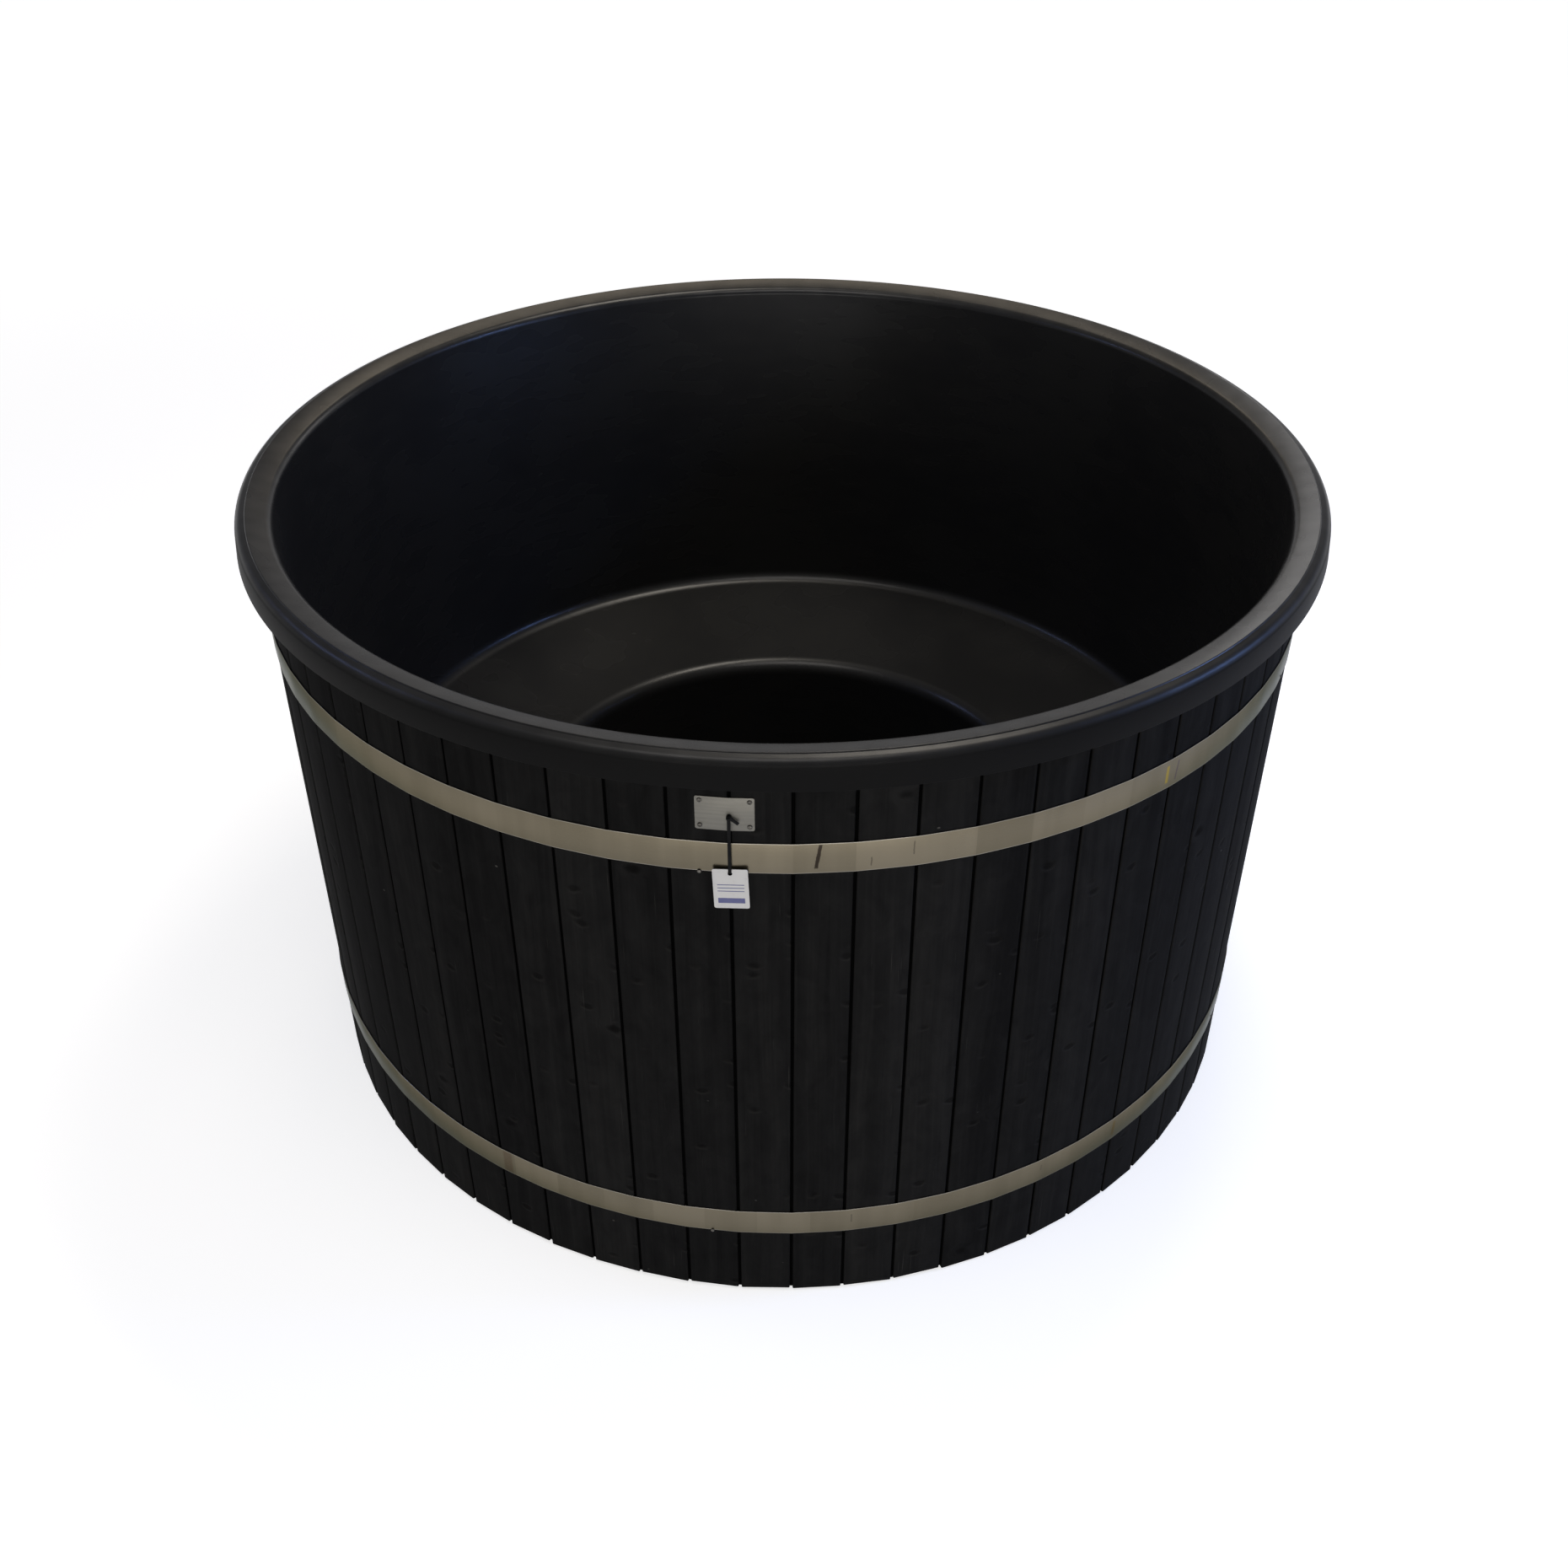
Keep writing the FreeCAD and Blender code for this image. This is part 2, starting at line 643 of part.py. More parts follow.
def tie_bend():
    """The half turn at the foot of the tie, which passes through the hole in the tag."""
    start = FreeCAD.Vector(-TIE_WIDTH / 2, -(tie_back + tie_bend_r), tie_bend_z)
    outer = Part.makeCylinder(tie_bend_r, TIE_WIDTH, start, RIGHT)
    inner = Part.makeCylinder(tie_bend_r - TIE_THICKNESS, TIE_WIDTH, start, RIGHT)
    return outer.cut(inner).common(tie_leg(tie_back, tie_face, tie_bend_z - tie_bend_r, tie_bend_z))


def tag_tie():
    lock_bottom = tie_bend_z + TIE_LOOP
    eye_back = plate_front + SEAT_GAP
    eye = outward_rod(TIE_EYE_R, eye_back, tie_face, tag_nail_z)
    tail_middle = (eye_back + tie_face) / 2
    tail_y = (-tail_middle - TIE_THICKNESS / 2, -tail_middle + TIE_THICKNESS / 2)
    tail = box((-TIE_WIDTH / 2, TIE_WIDTH / 2), tail_y, (-TIE_TAIL - TIE_EYE_R, 0))
    tail.rotate(FreeCAD.Vector(), OUTWARD, TIE_TAIL_ANGLE)
    tail.translate(UP * tag_nail_z)
    pieces = [
        tie_leg(tie_front, tie_face, tie_bend_z, tag_nail_z),
        tie_leg(tie_back, tie_back + TIE_THICKNESS, tie_bend_z, lock_bottom + TIE_LOCK),
        tie_leg(tie_back, tie_face, lock_bottom, lock_bottom + TIE_LOCK),
        tie_bend(),
        tail,
    ]
    tie = eye.multiFuse(pieces)
    bore = outward_rod(TAG_NAIL_R + PIVOT_PLAY, plate_front, tie_face, tag_nail_z)
    return tie.cut(bore).removeSplitter()


def hang_tag():
    top = tag_hole_z + TAG_HOLE_INSET
    half = TAG_WIDTH / 2
    card = box((-half, half), (-tag_front, -tag_back), (top - TAG_HEIGHT, top))
    corner_edges = [edge for edge in card.Edges if abs(edge.Length - TAG_THICKNESS) < EDGE_TOLERANCE]
    card = card.makeFillet(TAG_CORNER, corner_edges)
    return card.cut(outward_rod(tag_hole_r, tag_back, tag_front, tag_hole_z))


def base_bearers():
    pieces = []
    for step in (-1, 0, 1):
        centre = step * BEARER_SPACING
        farthest = abs(centre) + BEARER_WIDTH / 2
        half_length = math.sqrt((inside_r - BEARER_SETBACK) ** 2 - farthest ** 2)
        across = (centre - BEARER_WIDTH / 2, centre + BEARER_WIDTH / 2)
        pieces.append(box(across, (-half_length, half_length), (0, BEARER_HEIGHT)))
    return pieces


def base_deck():
    return upright_rod(inside_r, BEARER_HEIGHT, deck_top)


def lower_backing_ring(drills):
    kerb = ring(inside_r, kerb_inner_r, deck_top, kerb_top)
    for drill in drills:
        kerb = kerb.cut(drill)
    return kerb


def tapered_ring(bottom, top):
    """A ring that fills the space between the liner's sloping wall and the staves."""
    inner_bottom = wall_outside_r(bottom) + SEAT_GAP
    inner_top = wall_outside_r(top) + SEAT_GAP
    return revolved([
        (inner_bottom, bottom, 0.0),
        (inside_r, bottom, 0.0),
        (inside_r, top, 0.0),
        (inner_top, top, 0.0),
    ])


def bench_supports():
    bench_slope = BENCH_FALL / BENCH_WIDTH
    under = LINER_WALL * math.hypot(1, bench_slope) + SEAT_GAP
    foot_r = well_outside_r(deck_top) + SEAT_GAP
    head_r = well_outside_r(nose_z) + SEAT_GAP
    side_r = wall_outside_r(BENCH_HEIGHT) + SEAT_GAP
    under_head = nose_z + (head_r - nose_r) * bench_slope - under
    outline = [
        (foot_r, deck_top),
        (kerb_inner_r - SEAT_GAP, deck_top),
        (kerb_inner_r - SEAT_GAP, jacket_bottom),
        (wall_outside_r(jacket_bottom) + SEAT_GAP, jacket_bottom),
        (side_r, nose_z + (side_r - nose_r) * bench_slope - under),
        (head_r + BENCH_NOSE, under_head + BENCH_NOSE * bench_slope),
        (head_r, under_head - BENCH_NOSE),
    ]
    points = [FreeCAD.Vector(-SUPPORT_THICKNESS / 2, -r, z) for r, z in outline]
    support = prism(points, RIGHT * SUPPORT_THICKNESS)
    return [turned(support, (index + 0.5) * bay) for index in range(SUPPORT_COUNT)]


def flange_seat(z, flange_r):
    """Distance from the tub's axis at which a flat flange clears the round wall of the well."""
    return math.sqrt(well_inside_r(z - flange_r) ** 2 - flange_r ** 2) - SEAL_LEAST


def locknut_seat(z, pipe_r):
    return well_outside_r(z + pipe_r + LOCKNUT_OVERSIZE) + SEAL_LEAST


def wall_pipe(z, pipe_r, bore_r, flange_r, end_r):
    seat = flange_seat(z, flange_r)
    flange = outward_rod(flange_r, seat - PIPE_FLANGE_THICKNESS, seat, z)
    barrel = outward_rod(pipe_r, seat, collar_face, z)
    spigot = outward_rod(pipe_r - SPIGOT_STEP, collar_face, end_r, z)
    pipe = flange.multiFuse([barrel, spigot]).removeSplitter()
    return pipe.cut(outward_rod(bore_r, seat - PIPE_FLANGE_THICKNESS, end_r, z))


def wall_seals(shell, z, pipe_r, flange_r):
    """Rubber between the flat flanges and the round wall, inside and outside the well."""
    seal_r = min(flange_r - SEAL_INSET, pipe_r + LOCKNUT_OVERSIZE - SEAL_INSET)
    start = flange_seat(z, flange_r)
    end = locknut_seat(z, pipe_r)
    sleeve = outward_rod(seal_r, start, end, z).cut(outward_rod(pipe_r + PIPE_FIT, start, end, z))
    for gap in (-SEAT_GAP, SEAT_GAP):
        sleeve = sleeve.cut(shell.translated(OUTWARD * gap))
    return sleeve.Solids


def locknut(z, pipe_r):
    start = locknut_seat(z, pipe_r)
    nut = hexagon(pipe_r + LOCKNUT_OVERSIZE, FreeCAD.Vector(0, -start, z), OUTWARD, LOCKNUT_THICKNESS)
    return nut.cut(outward_rod(pipe_r + PIPE_FIT, start, start + LOCKNUT_THICKNESS, z))


def stave_collar(z, pipe_r):
    collar = outward_rod(pipe_r + COLLAR_WIDTH, face_r, collar_face, z)
    return collar.cut(outward_rod(pipe_r + PIPE_FIT, face_r, collar_face, z))


def wall_grille(z, bore_r, flange_r):
    face = flange_seat(z, flange_r) - PIPE_FLANGE_THICKNESS
    disc_r = flange_r - SEAL_INSET
    disc = outward_rod(disc_r, face - GRILLE_THICKNESS, face, z)
    slot_zone = bore_r - SLEEVE_WALL
    spacing = 2 * slot_zone / (GRILLE_SLOTS + 1)
    for index in range(GRILLE_SLOTS):
        height = (index + 1) * spacing - slot_zone
        half_length = math.sqrt(slot_zone ** 2 - height ** 2)
        low = z + height - GRILLE_SLOT_WIDTH / 2
        through = (-face, GRILLE_THICKNESS - face)
        disc = disc.cut(box((-half_length, half_length), through, (low, low + GRILLE_SLOT_WIDTH)))
    sleeve_r = bore_r - PIPE_FIT
    sleeve = outward_rod(sleeve_r, face, face + SLEEVE_LENGTH, z)
    sleeve = sleeve.cut(outward_rod(sleeve_r - SLEEVE_WALL, face, face + SLEEVE_LENGTH, z))
    return disc.fuse(sleeve).removeSplitter()


def valve_body():
    inlet = valve_r - valve_inlet
    outlet = valve_r + valve_outlet
    body = outward_rod(valve_body_r, inlet, outlet, drain_z)
    body = body.fuse(upright_rod(BONNET_R, drain_z, drain_z + bonnet_height, valve_r)).removeSplitter()
    hollows = [
        outward_rod(drain_spigot_r + PIPE_FIT, inlet, inlet + VALVE_SOCKET_DEPTH, drain_z),
        outward_rod(DRAIN_BORE_R, inlet, outlet, drain_z),
        outward_rod(cavity_r, valve_r - seat_outer, outlet, drain_z),
        upright_rod(STEM_R + STEM_FIT, drain_z, drain_z + bonnet_height, valve_r),
    ]
    for hollow in hollows:
        body = body.cut(hollow)
    return body


def valve_seats():
    clearance = Part.makeSphere(ball_r + PIPE_FIT, FreeCAD.Vector(0, -valve_r, drain_z))
    pieces = []
    for side in (-1, 1):
        near, far = sorted((valve_r + side * seat_inner, valve_r + side * seat_outer))
        seat = outward_rod(cavity_r - PIPE_FIT, near, far, drain_z)
        seat = seat.cut(outward_rod(DRAIN_BORE_R, near, far, drain_z))
        pieces.append(seat.cut(clearance))
    return pieces


def valve_ball():
    ball = Part.makeSphere(ball_r, FreeCAD.Vector(0, -valve_r, drain_z))
    bore = Part.makeCylinder(DRAIN_BORE_R, 2 * ball_r, FreeCAD.Vector(-ball_r, -valve_r, drain_z), RIGHT)
    socket = upright_rod(STEM_R + STEM_FIT, drain_z + stem_root, drain_z + ball_r, valve_r)
    return ball.cut(bore).cut(socket)


def valve_stem():
    shaft = upright_rod(STEM_R, drain_z + stem_root, lever_bottom, valve_r)
    tip = upright_rod(STEM_TIP_R, lever_bottom, lever_nut_top + STEM_TIP_SPARE, valve_r)
    return shaft.fuse(tip).removeSplitter()


def gland_nut():
    bottom = drain_z + bonnet_height
    nut = hexagon(GLAND_R, FreeCAD.Vector(0, -valve_r, bottom), UP, GLAND_THICKNESS)
    return nut.cut(upright_rod(STEM_R + STEM_FIT, bottom, bottom + GLAND_THICKNESS, valve_r))


def lever_bar(clearance=0.0):
    half = LEVER_WIDTH / 2 + clearance
    span = (-LEVER_LENGTH, LEVER_HEEL)
    return box(span, (-valve_r - half, -valve_r + half), (lever_bottom - clearance, lever_top + clearance))


def valve_lever():
    return lever_bar().cut(upright_rod(STEM_TIP_R + STEM_FIT, lever_bottom, lever_top, valve_r))


def lever_grip():
    half = LEVER_WIDTH / 2 + GRIP_WALL
    span = (-LEVER_LENGTH - GRIP_WALL, GRIP_LENGTH - LEVER_LENGTH - GRIP_WALL)
    tall = (lever_bottom - GRIP_WALL, lever_top + GRIP_WALL)
    grip = box(span, (-valve_r - half, -valve_r + half), tall)
    grip = grip.makeFillet(GRIP_ROUND, [edge for edge in grip.Edges if edge.Length > GRIP_LENGTH / 2])
    return grip.cut(lever_bar(STEM_FIT))


def lever_nut():
    nut = hexagon(LEVER_NUT_R, FreeCAD.Vector(0, -valve_r, lever_top), UP, LEVER_NUT_THICKNESS)
    return nut.cut(upright_rod(STEM_TIP_R + STEM_FIT, lever_top, lever_nut_top, valve_r))


def drain_hose_tail():
    plug_start = valve_r + seat_outer
    flange_start = valve_r + valve_outlet
    tail_start = flange_start + TAIL_FLANGE_THICKNESS
    plug = outward_rod(cavity_r - PIPE_FIT, plug_start, flange_start, drain_z)
    flange = hexagon(valve_body_r, FreeCAD.Vector(0, -flange_start, drain_z), OUTWARD, TAIL_FLANGE_THICKNESS)
    tail = outward_rod(drain_pipe_r, tail_start, tail_start + TAIL_LENGTH, drain_z)
    solid = plug.multiFuse([flange, tail]).removeSplitter()
    return solid.cut(outward_rod(DRAIN_BORE_R, plug_start, tail_start + TAIL_LENGTH, drain_z))


def save(name, *solids):
    shape = solids[0] if len(solids) == 1 else Part.makeCompound(list(solids))
    shape.exportStep(os.path.join("parts", name + ".step"))


pipes = [
    (port_azimuth, upper_port_z, port_pipe_r),
    (port_azimuth, lower_port_z, port_pipe_r),
    (drain_azimuth, drain_z, drain_pipe_r),
]
pipe_drills = []
for azimuth, z, pipe_r in pipes:
    through = outward_rod(pipe_r + PIPE_HOLE_CLEARANCE, kerb_inner_r - KERB_THICKNESS, collar_face, z)
    pipe_drills.append(turned(through, azimuth))

os.makedirs("parts", exist_ok=True)

shell = bare_liner()
save("tub_liner", tub_liner(shell))

stave_drills = pipe_drills + nail_drills() + screw_drills() + [tag_nail_drill()]
for number, boards in enumerate(stave_groups(stave_drills), start=1):
    save(f"staves_{number:02d}", *boards)

clamp_rivets = []
for name, z in (("upper_hoop", upper_hoop_z), ("lower_hoop", lower_hoop_z)):
    places = rivet_places(z)
    rivet_holes = rivet_drills(places)
    clamp_rivets.extend(rivets(places))
    save(name, hoop(z, rivet_holes))
    save(name + "_lugs", *clamp_lugs(z, rivet_holes))
save("hoop_rivets", *clamp_rivets)
save("hoop_bolts", *[clamp_bolt(z) for z in (upper_hoop_z, lower_hoop_z)])
save("hoop_nuts", *[clamp_nut(z) for z in (upper_hoop_z, lower_hoop_z)])
save("hoop_nails", *hoop_nails())

save("name_plate", name_plate())
save("plate_screws", *plate_screws())
save("tag_nail", tag_nail())
save("tag_tie", tag_tie())
save("hang_tag", hang_tag())

for number, bearer in enumerate(base_bearers(), start=1):
    save(f"base_bearer_{number}", bearer)
save("base_deck", base_deck())
save("lower_backing_ring", lower_backing_ring(pipe_drills))
save("upper_backing_ring", tapered_ring(backing_bottom, backing_top))
save("insulation_jacket", tapered_ring(jacket_bottom, backing_bottom))
save("bench_supports", *bench_supports())

for name, z in (("upper_port", upper_port_z), ("lower_port", lower_port_z)):
    spigot_end = collar_face + SPIGOT_LENGTH
    pieces = {
        "pipe": [wall_pipe(z, port_pipe_r, PORT_BORE_R, port_flange_r, spigot_end)],
        "seals": wall_seals(shell, z, port_pipe_r, port_flange_r),
        "locknut": [locknut(z, port_pipe_r)],
        "collar": [stave_collar(z, port_pipe_r)],
        "grille": [wall_grille(z, PORT_BORE_R, port_flange_r)],
    }
    for piece, solids in pieces.items():
        save(f"{name}_{piece}", *[turned(solid, port_azimuth) for solid in solids])

drain_end = valve_r - valve_inlet + VALVE_SOCKET_DEPTH
drain_pieces = {
    "drain_pipe": [wall_pipe(drain_z, drain_pipe_r, DRAIN_BORE_R, drain_flange_r, drain_end)],
    "drain_seals": wall_seals(shell, drain_z, drain_pipe_r, drain_flange_r),
    "drain_locknut": [locknut(drain_z, drain_pipe_r)],
    "drain_collar": [stave_collar(drain_z, drain_pipe_r)],
    "drain_strainer": [wall_grille(drain_z, DRAIN_BORE_R, drain_flange_r)],
    "valve_body": [valve_body()],
    "valve_seats": valve_seats(),
    "valve_ball": [valve_ball()],
    "valve_stem": [valve_stem()],
    "valve_gland_nut": [gland_nut()],
    "valve_lever": [valve_lever()],
    "valve_lever_grip": [lever_grip()],
    "valve_lever_nut": [lever_nut()],
    "drain_hose_tail": [drain_hose_tail()],
}
for name, solids in drain_pieces.items():
    save(name, *[turned(solid, drain_azimuth) for solid in solids])
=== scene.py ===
import bmesh
import bpy
import json
import math
import random
from mathutils import Matrix, Vector


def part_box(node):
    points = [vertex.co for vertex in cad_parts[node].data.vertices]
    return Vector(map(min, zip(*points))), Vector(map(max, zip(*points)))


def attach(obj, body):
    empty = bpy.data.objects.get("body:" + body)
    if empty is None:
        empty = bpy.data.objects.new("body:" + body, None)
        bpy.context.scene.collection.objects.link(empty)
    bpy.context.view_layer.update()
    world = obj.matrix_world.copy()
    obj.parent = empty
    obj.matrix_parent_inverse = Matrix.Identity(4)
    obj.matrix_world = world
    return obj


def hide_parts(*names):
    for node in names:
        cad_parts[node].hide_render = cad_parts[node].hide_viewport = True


# Looks of a round hot tub: black liner, black stained boards, two steel hoops, and the pipes at the back.
# Metres; azimuth runs from -Y, where the plate is, towards +X.

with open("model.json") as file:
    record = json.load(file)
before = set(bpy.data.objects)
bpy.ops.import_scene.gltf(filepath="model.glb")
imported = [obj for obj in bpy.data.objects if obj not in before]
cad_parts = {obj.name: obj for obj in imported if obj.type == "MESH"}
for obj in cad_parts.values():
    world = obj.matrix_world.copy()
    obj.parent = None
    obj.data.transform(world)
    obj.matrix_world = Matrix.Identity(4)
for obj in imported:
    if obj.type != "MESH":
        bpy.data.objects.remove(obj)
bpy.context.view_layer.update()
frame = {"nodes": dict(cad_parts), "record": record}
record = frame["record"]
slotOf = {entry["node"]: entry["material_slot"] for entry in record["subparts"]}
bodyOf = {node: body for body, nodes in record["behaviour"]["bodies"].items() for node in nodes}

mm = 0.001
mergeDistance = 0.001 * mm
shaderSockets = {
    "colour": "Base Color",
    "roughness": "Roughness",
    "metallic": "Metallic",
    "specular": "Specular IOR Level",
    "edgeTint": "Specular Tint",
    "coat": "Coat Weight",
    "coatRoughness": "Coat Roughness",
    "normal": "Normal",
    "glow": "Emission Color",
    "glowStrength": "Emission Strength",
    "light": "Color",
}


class Socket:  # a node's output, so that shader maths reads as maths
    def __init__(self, finish, output):
        self.finish = finish
        self.output = output

    def maths(self, operation, *terms):
        return self.finish.node("Math", {"operation": operation}, dict(enumerate(terms)))

    def __add__(self, other):
        return self.maths("ADD", self, other)

    __radd__ = __add__

    def __sub__(self, other):
        return self.maths("SUBTRACT", self, other)

    def __rsub__(self, other):
        return self.maths("SUBTRACT", other, self)

    def __mul__(self, other):
        return self.maths("MULTIPLY", self, other)

    __rmul__ = __mul__

    def __pow__(self, power):
        return self.maths("POWER", self, power)

    def __gt__(self, other):
        return self.maths("GREATER_THAN", self, other)

    def __abs__(self):
        return self.maths("ABSOLUTE", self)

    def floor(self):
        return self.maths("FLOOR", self)


class Finish:  # one material, or the world, from its coordinates to its shader
    def __init__(self, name, holders=bpy.data.materials, shader="Principled BSDF", **constants):
        self.material = holders.new(name)
        self.material.use_nodes = True
        self.tree = self.material.node_tree
        self.shader = self.tree.nodes[shader]
        self.feed(**constants)

    def node(self, kind, settings, sockets, output=0):
        made = self.tree.nodes.new("ShaderNode" + kind)
        for key, value in settings.items():
            if key == "stops":
                ramp = made.color_ramp.elements
                while len(ramp) < len(value):
                    ramp.new(1)
                for element, (position, colour) in zip(ramp, value):
                    element.position = position
                    element.color = (*colour, 1)
            else:
                setattr(made, key, value)
        for key, value in sockets.items():
            if isinstance(value, Socket):
                self.tree.links.new(value.output, made.inputs[key])
            else:
                made.inputs[key].default_value = value
        return Socket(self, made.outputs[output])

    def feed(self, **values):
        for key, value in values.items():
            socket = self.shader.inputs[shaderSockets[key]]
            if isinstance(value, Socket):
                self.tree.links.new(value.output, socket)
            else:
                socket.default_value = (*value, 1) if isinstance(value, tuple) else value
        return self

    def place(self):
        return self.node("TexCoord", {}, {}, output="Object")

    def split(self, vector, axes):
        return [self.node("SeparateXYZ", {}, {0: vector}, output=axis) for axis in axes]

    def map(self, name):  # the piece's own map, as its two values
        return self.split(self.node("UVMap", {"uv_map": name}, {}), "XY")

    def fromAxis(self):  # distance from the tub's upright axis
        x, y = self.split(self.place(), "XY")
        return (x * x + y * y) ** 0.5

    def vector(self, x, y, z=0.0):
        return self.node("CombineXYZ", {}, {0: x, 1: y, 2: z})

    def stretched(self, vector, scale):
        return self.node("VectorMath", {"operation": "MULTIPLY"}, {0: vector, 1: scale})

    def noise(self, vector, scale, detail=3.0, roughness=0.55, distortion=0.0):
        sockets = {"Vector": vector, "Scale": scale, "Detail": detail, "Roughness": roughness,
                   "Distortion": distortion}
        return self.node("TexNoise", {"noise_dimensions": "3D"}, sockets)

    def grain(self, place, scale, layer=0.0, bend=0.0, **settings):  # noise on a map's two values
        across, up = place
        return self.noise(self.vector(across * scale[0] + bend, up * scale[1], layer), 1.0, **settings)

    def cells(self, vector, scale, output="Distance"):
        settings = {"voronoi_dimensions": "3D", "feature": "F1"}
        return self.node("TexVoronoi", settings, {"Vector": vector, "Scale": scale}, output)

    def spots(self, vector, scale, least, *sizes):  # a mask for each size, in cells with a chance above least
        chosen = self.split(self.cells(vector, scale, "Color"), "X")[0] > least
        distance = self.cells(vector, scale)
        return [self.fit(distance, *size) * chosen for size in sizes]

    def fit(self, value, low, high, newLow=0.0, newHigh=1.0):  # clamped and smoothed
        settings = {"interpolation_type": "SMOOTHSTEP", "clamp": True}
        return self.node("MapRange", settings, {0: value, 1: low, 2: high, 3: newLow, 4: newHigh})

    def mix(self, factor, first, second):
        colours = [value if isinstance(value, Socket) else (*value, 1) for value in (first, second)]
        return self.node("Mix", {"data_type": "RGBA"}, {0: factor, 6: colours[0], 7: colours[1]}, output=2)

    def ramp(self, value, *stops):
        return self.node("ValToRGB", {"stops": stops}, {0: value})

    def dulled(self, share, colour, normal, roughness, specular):  # a second, matt shader where share is 1
        sockets = {"Base Color": colour, "Normal": normal, "Roughness": roughness,
                   "Specular IOR Level": specular}
        matt = self.node("BsdfPrincipled", {}, sockets)
        both = self.node("MixShader", {}, {0: share, 1: Socket(self, self.shader.outputs[0]), 2: matt})
        self.tree.links.new(both.output, self.tree.nodes["Material Output"].inputs["Surface"])
        return self

    def bump(self, height, distance, strength=1.0):
        return self.node("Bump", {}, {"Height": height, "Distance": distance, "Strength": strength})


# Finishes

boardLook = {
    "dark": (0.0078, 0.0078, 0.0079),
    "middle": (0.0120, 0.0120, 0.0120),
    "light": (0.0180, 0.0178, 0.0174),
    "tones": (0.36, 0.50, 0.66),          # where these three stand on the grain's tone
    "specular": 0.006,
    "roughness": 0.55,
    "relief": 0.6 * mm,
    "lines": (150, 2.6),                  # scales across and up a board
    "streaks": (34, 0.9),
    "smudges": (26, 15),
    "swerve": (6, 1.3),
    "warp": (60, 60),
    "warpReach": 16 * mm,
    "knot": (0.0040, 0.0039, 0.0038),
    "knotSpacing": 0.15,
    "knotStretch": 1.5,
    "knotLeast": 0.45,                    # cells whose chance is above it have a knot
    "knotSizes": ((0.11, 0.04), (0.22, 0.06)),
    "dents": (20, 32, 1),
    "dentLeast": 0.66,
    "dentSize": (0.30, 0.12),
    "dentEdge": 2.5 * mm,                 # painted highlight: a copy of the dents, this far lower, lightens their lower edges
    # painted highlight colour for the dents' lower edges
    "scuff": (0.034, 0.033, 0.031),
    "speck": (0.090, 0.087, 0.080),
    "specks": (70, 110, 1),
    "speckLeast": 0.996,
    "speckSize": (0.22, 0.10),
    "scratches": (380, 9),
    "scratchRange": (0.68, 0.76),
    "patches": (11, 6),                   # scratches come in patches
    "patchRange": (0.55, 0.66),
    "patchLayer": 7,
    "groove": (0.0012, 0.0012, 0.0012),
    "grooveBetween": (0.8775, 0.8758),    # distances from the axis over which painted shade turns the joints black
}


def stainedBoards():
    look = boardLook
    finish = Finish("stainedBoards", specular=look["specular"])
    across, up = face = finish.map("grain")
    board = (across + 0.5).floor()
    chance = finish.node("TexWhiteNoise", {"noise_dimensions": "1D"}, {"W": board})
    warp = look["warpReach"] * (finish.grain(face, look["warp"], detail=2.0) - 0.5)
    flat = finish.vector(across + warp, look["knotStretch"] * up - warp)
    knot, halo = finish.spots(flat, 1 / look["knotSpacing"], look["knotLeast"], *look["knotSizes"])
    swerve = finish.grain(face, look["swerve"], board, detail=2.0) + 0.5 * halo
    lines = finish.grain(face, look["lines"], board, 5 * swerve, detail=4.0, roughness=0.62)
    streaks = finish.grain(face, look["streaks"], board, 2 * swerve)
    smudges = finish.grain(face, look["smudges"], board, detail=4.0, roughness=0.62, distortion=0.6)
    tone = 0.24 * lines + 0.42 * streaks + 0.34 * smudges + 0.11 * (chance - 0.5) + 0.05 * halo
    colour = finish.ramp(tone, *zip(look["tones"], (look["dark"], look["middle"], look["light"])))
    marks = []
    for drop in (0.0, look["dentEdge"]):
        shifted = finish.vector(across + 0.5 * warp, up - 0.5 * warp + drop)
        dentCells = finish.stretched(shifted, look["dents"])
        marks += finish.spots(dentCells, 1.0, look["dentLeast"], look["dentSize"])
    shadedDent, dentHighlightMask = marks
    # painted shade darkens the dents with the knots' colour, and a painted highlight lightens their lower
    # edges
    colour = finish.mix(0.8 * knot + 0.5 * shadedDent, colour, look["knot"])
    colour = finish.mix(0.45 * dentHighlightMask * (1.0 - shadedDent), colour, look["scuff"])
    speckCells = finish.stretched(finish.vector(across, up), look["specks"])
    speck = finish.spots(speckCells, 1.0, look["speckLeast"], look["speckSize"])[0]
    scratch = finish.fit(finish.grain(face, look["scratches"], board, detail=1.0), *look["scratchRange"])
    patch = finish.grain(face, look["patches"], board + look["patchLayer"], detail=1.0)
    scratch = scratch * finish.fit(patch, *look["patchRange"])
    colour = finish.mix(0.75 * speck + 0.20 * scratch, colour, look["speck"])
    # painted shade: the faces inside the joints are darkened to near black
    colour = finish.mix(finish.fit(finish.fromAxis(), *look["grooveBetween"]), colour, look["groove"])
    height = 0.55 * lines + 0.25 * streaks - 0.5 * knot + 0.4 * speck - 2.4 * shadedDent
    finish.feed(colour=colour, roughness=look["roughness"] + 0.16 * lines + 0.10 * smudges)
    return finish.feed(normal=finish.bump(height, look["relief"])).material


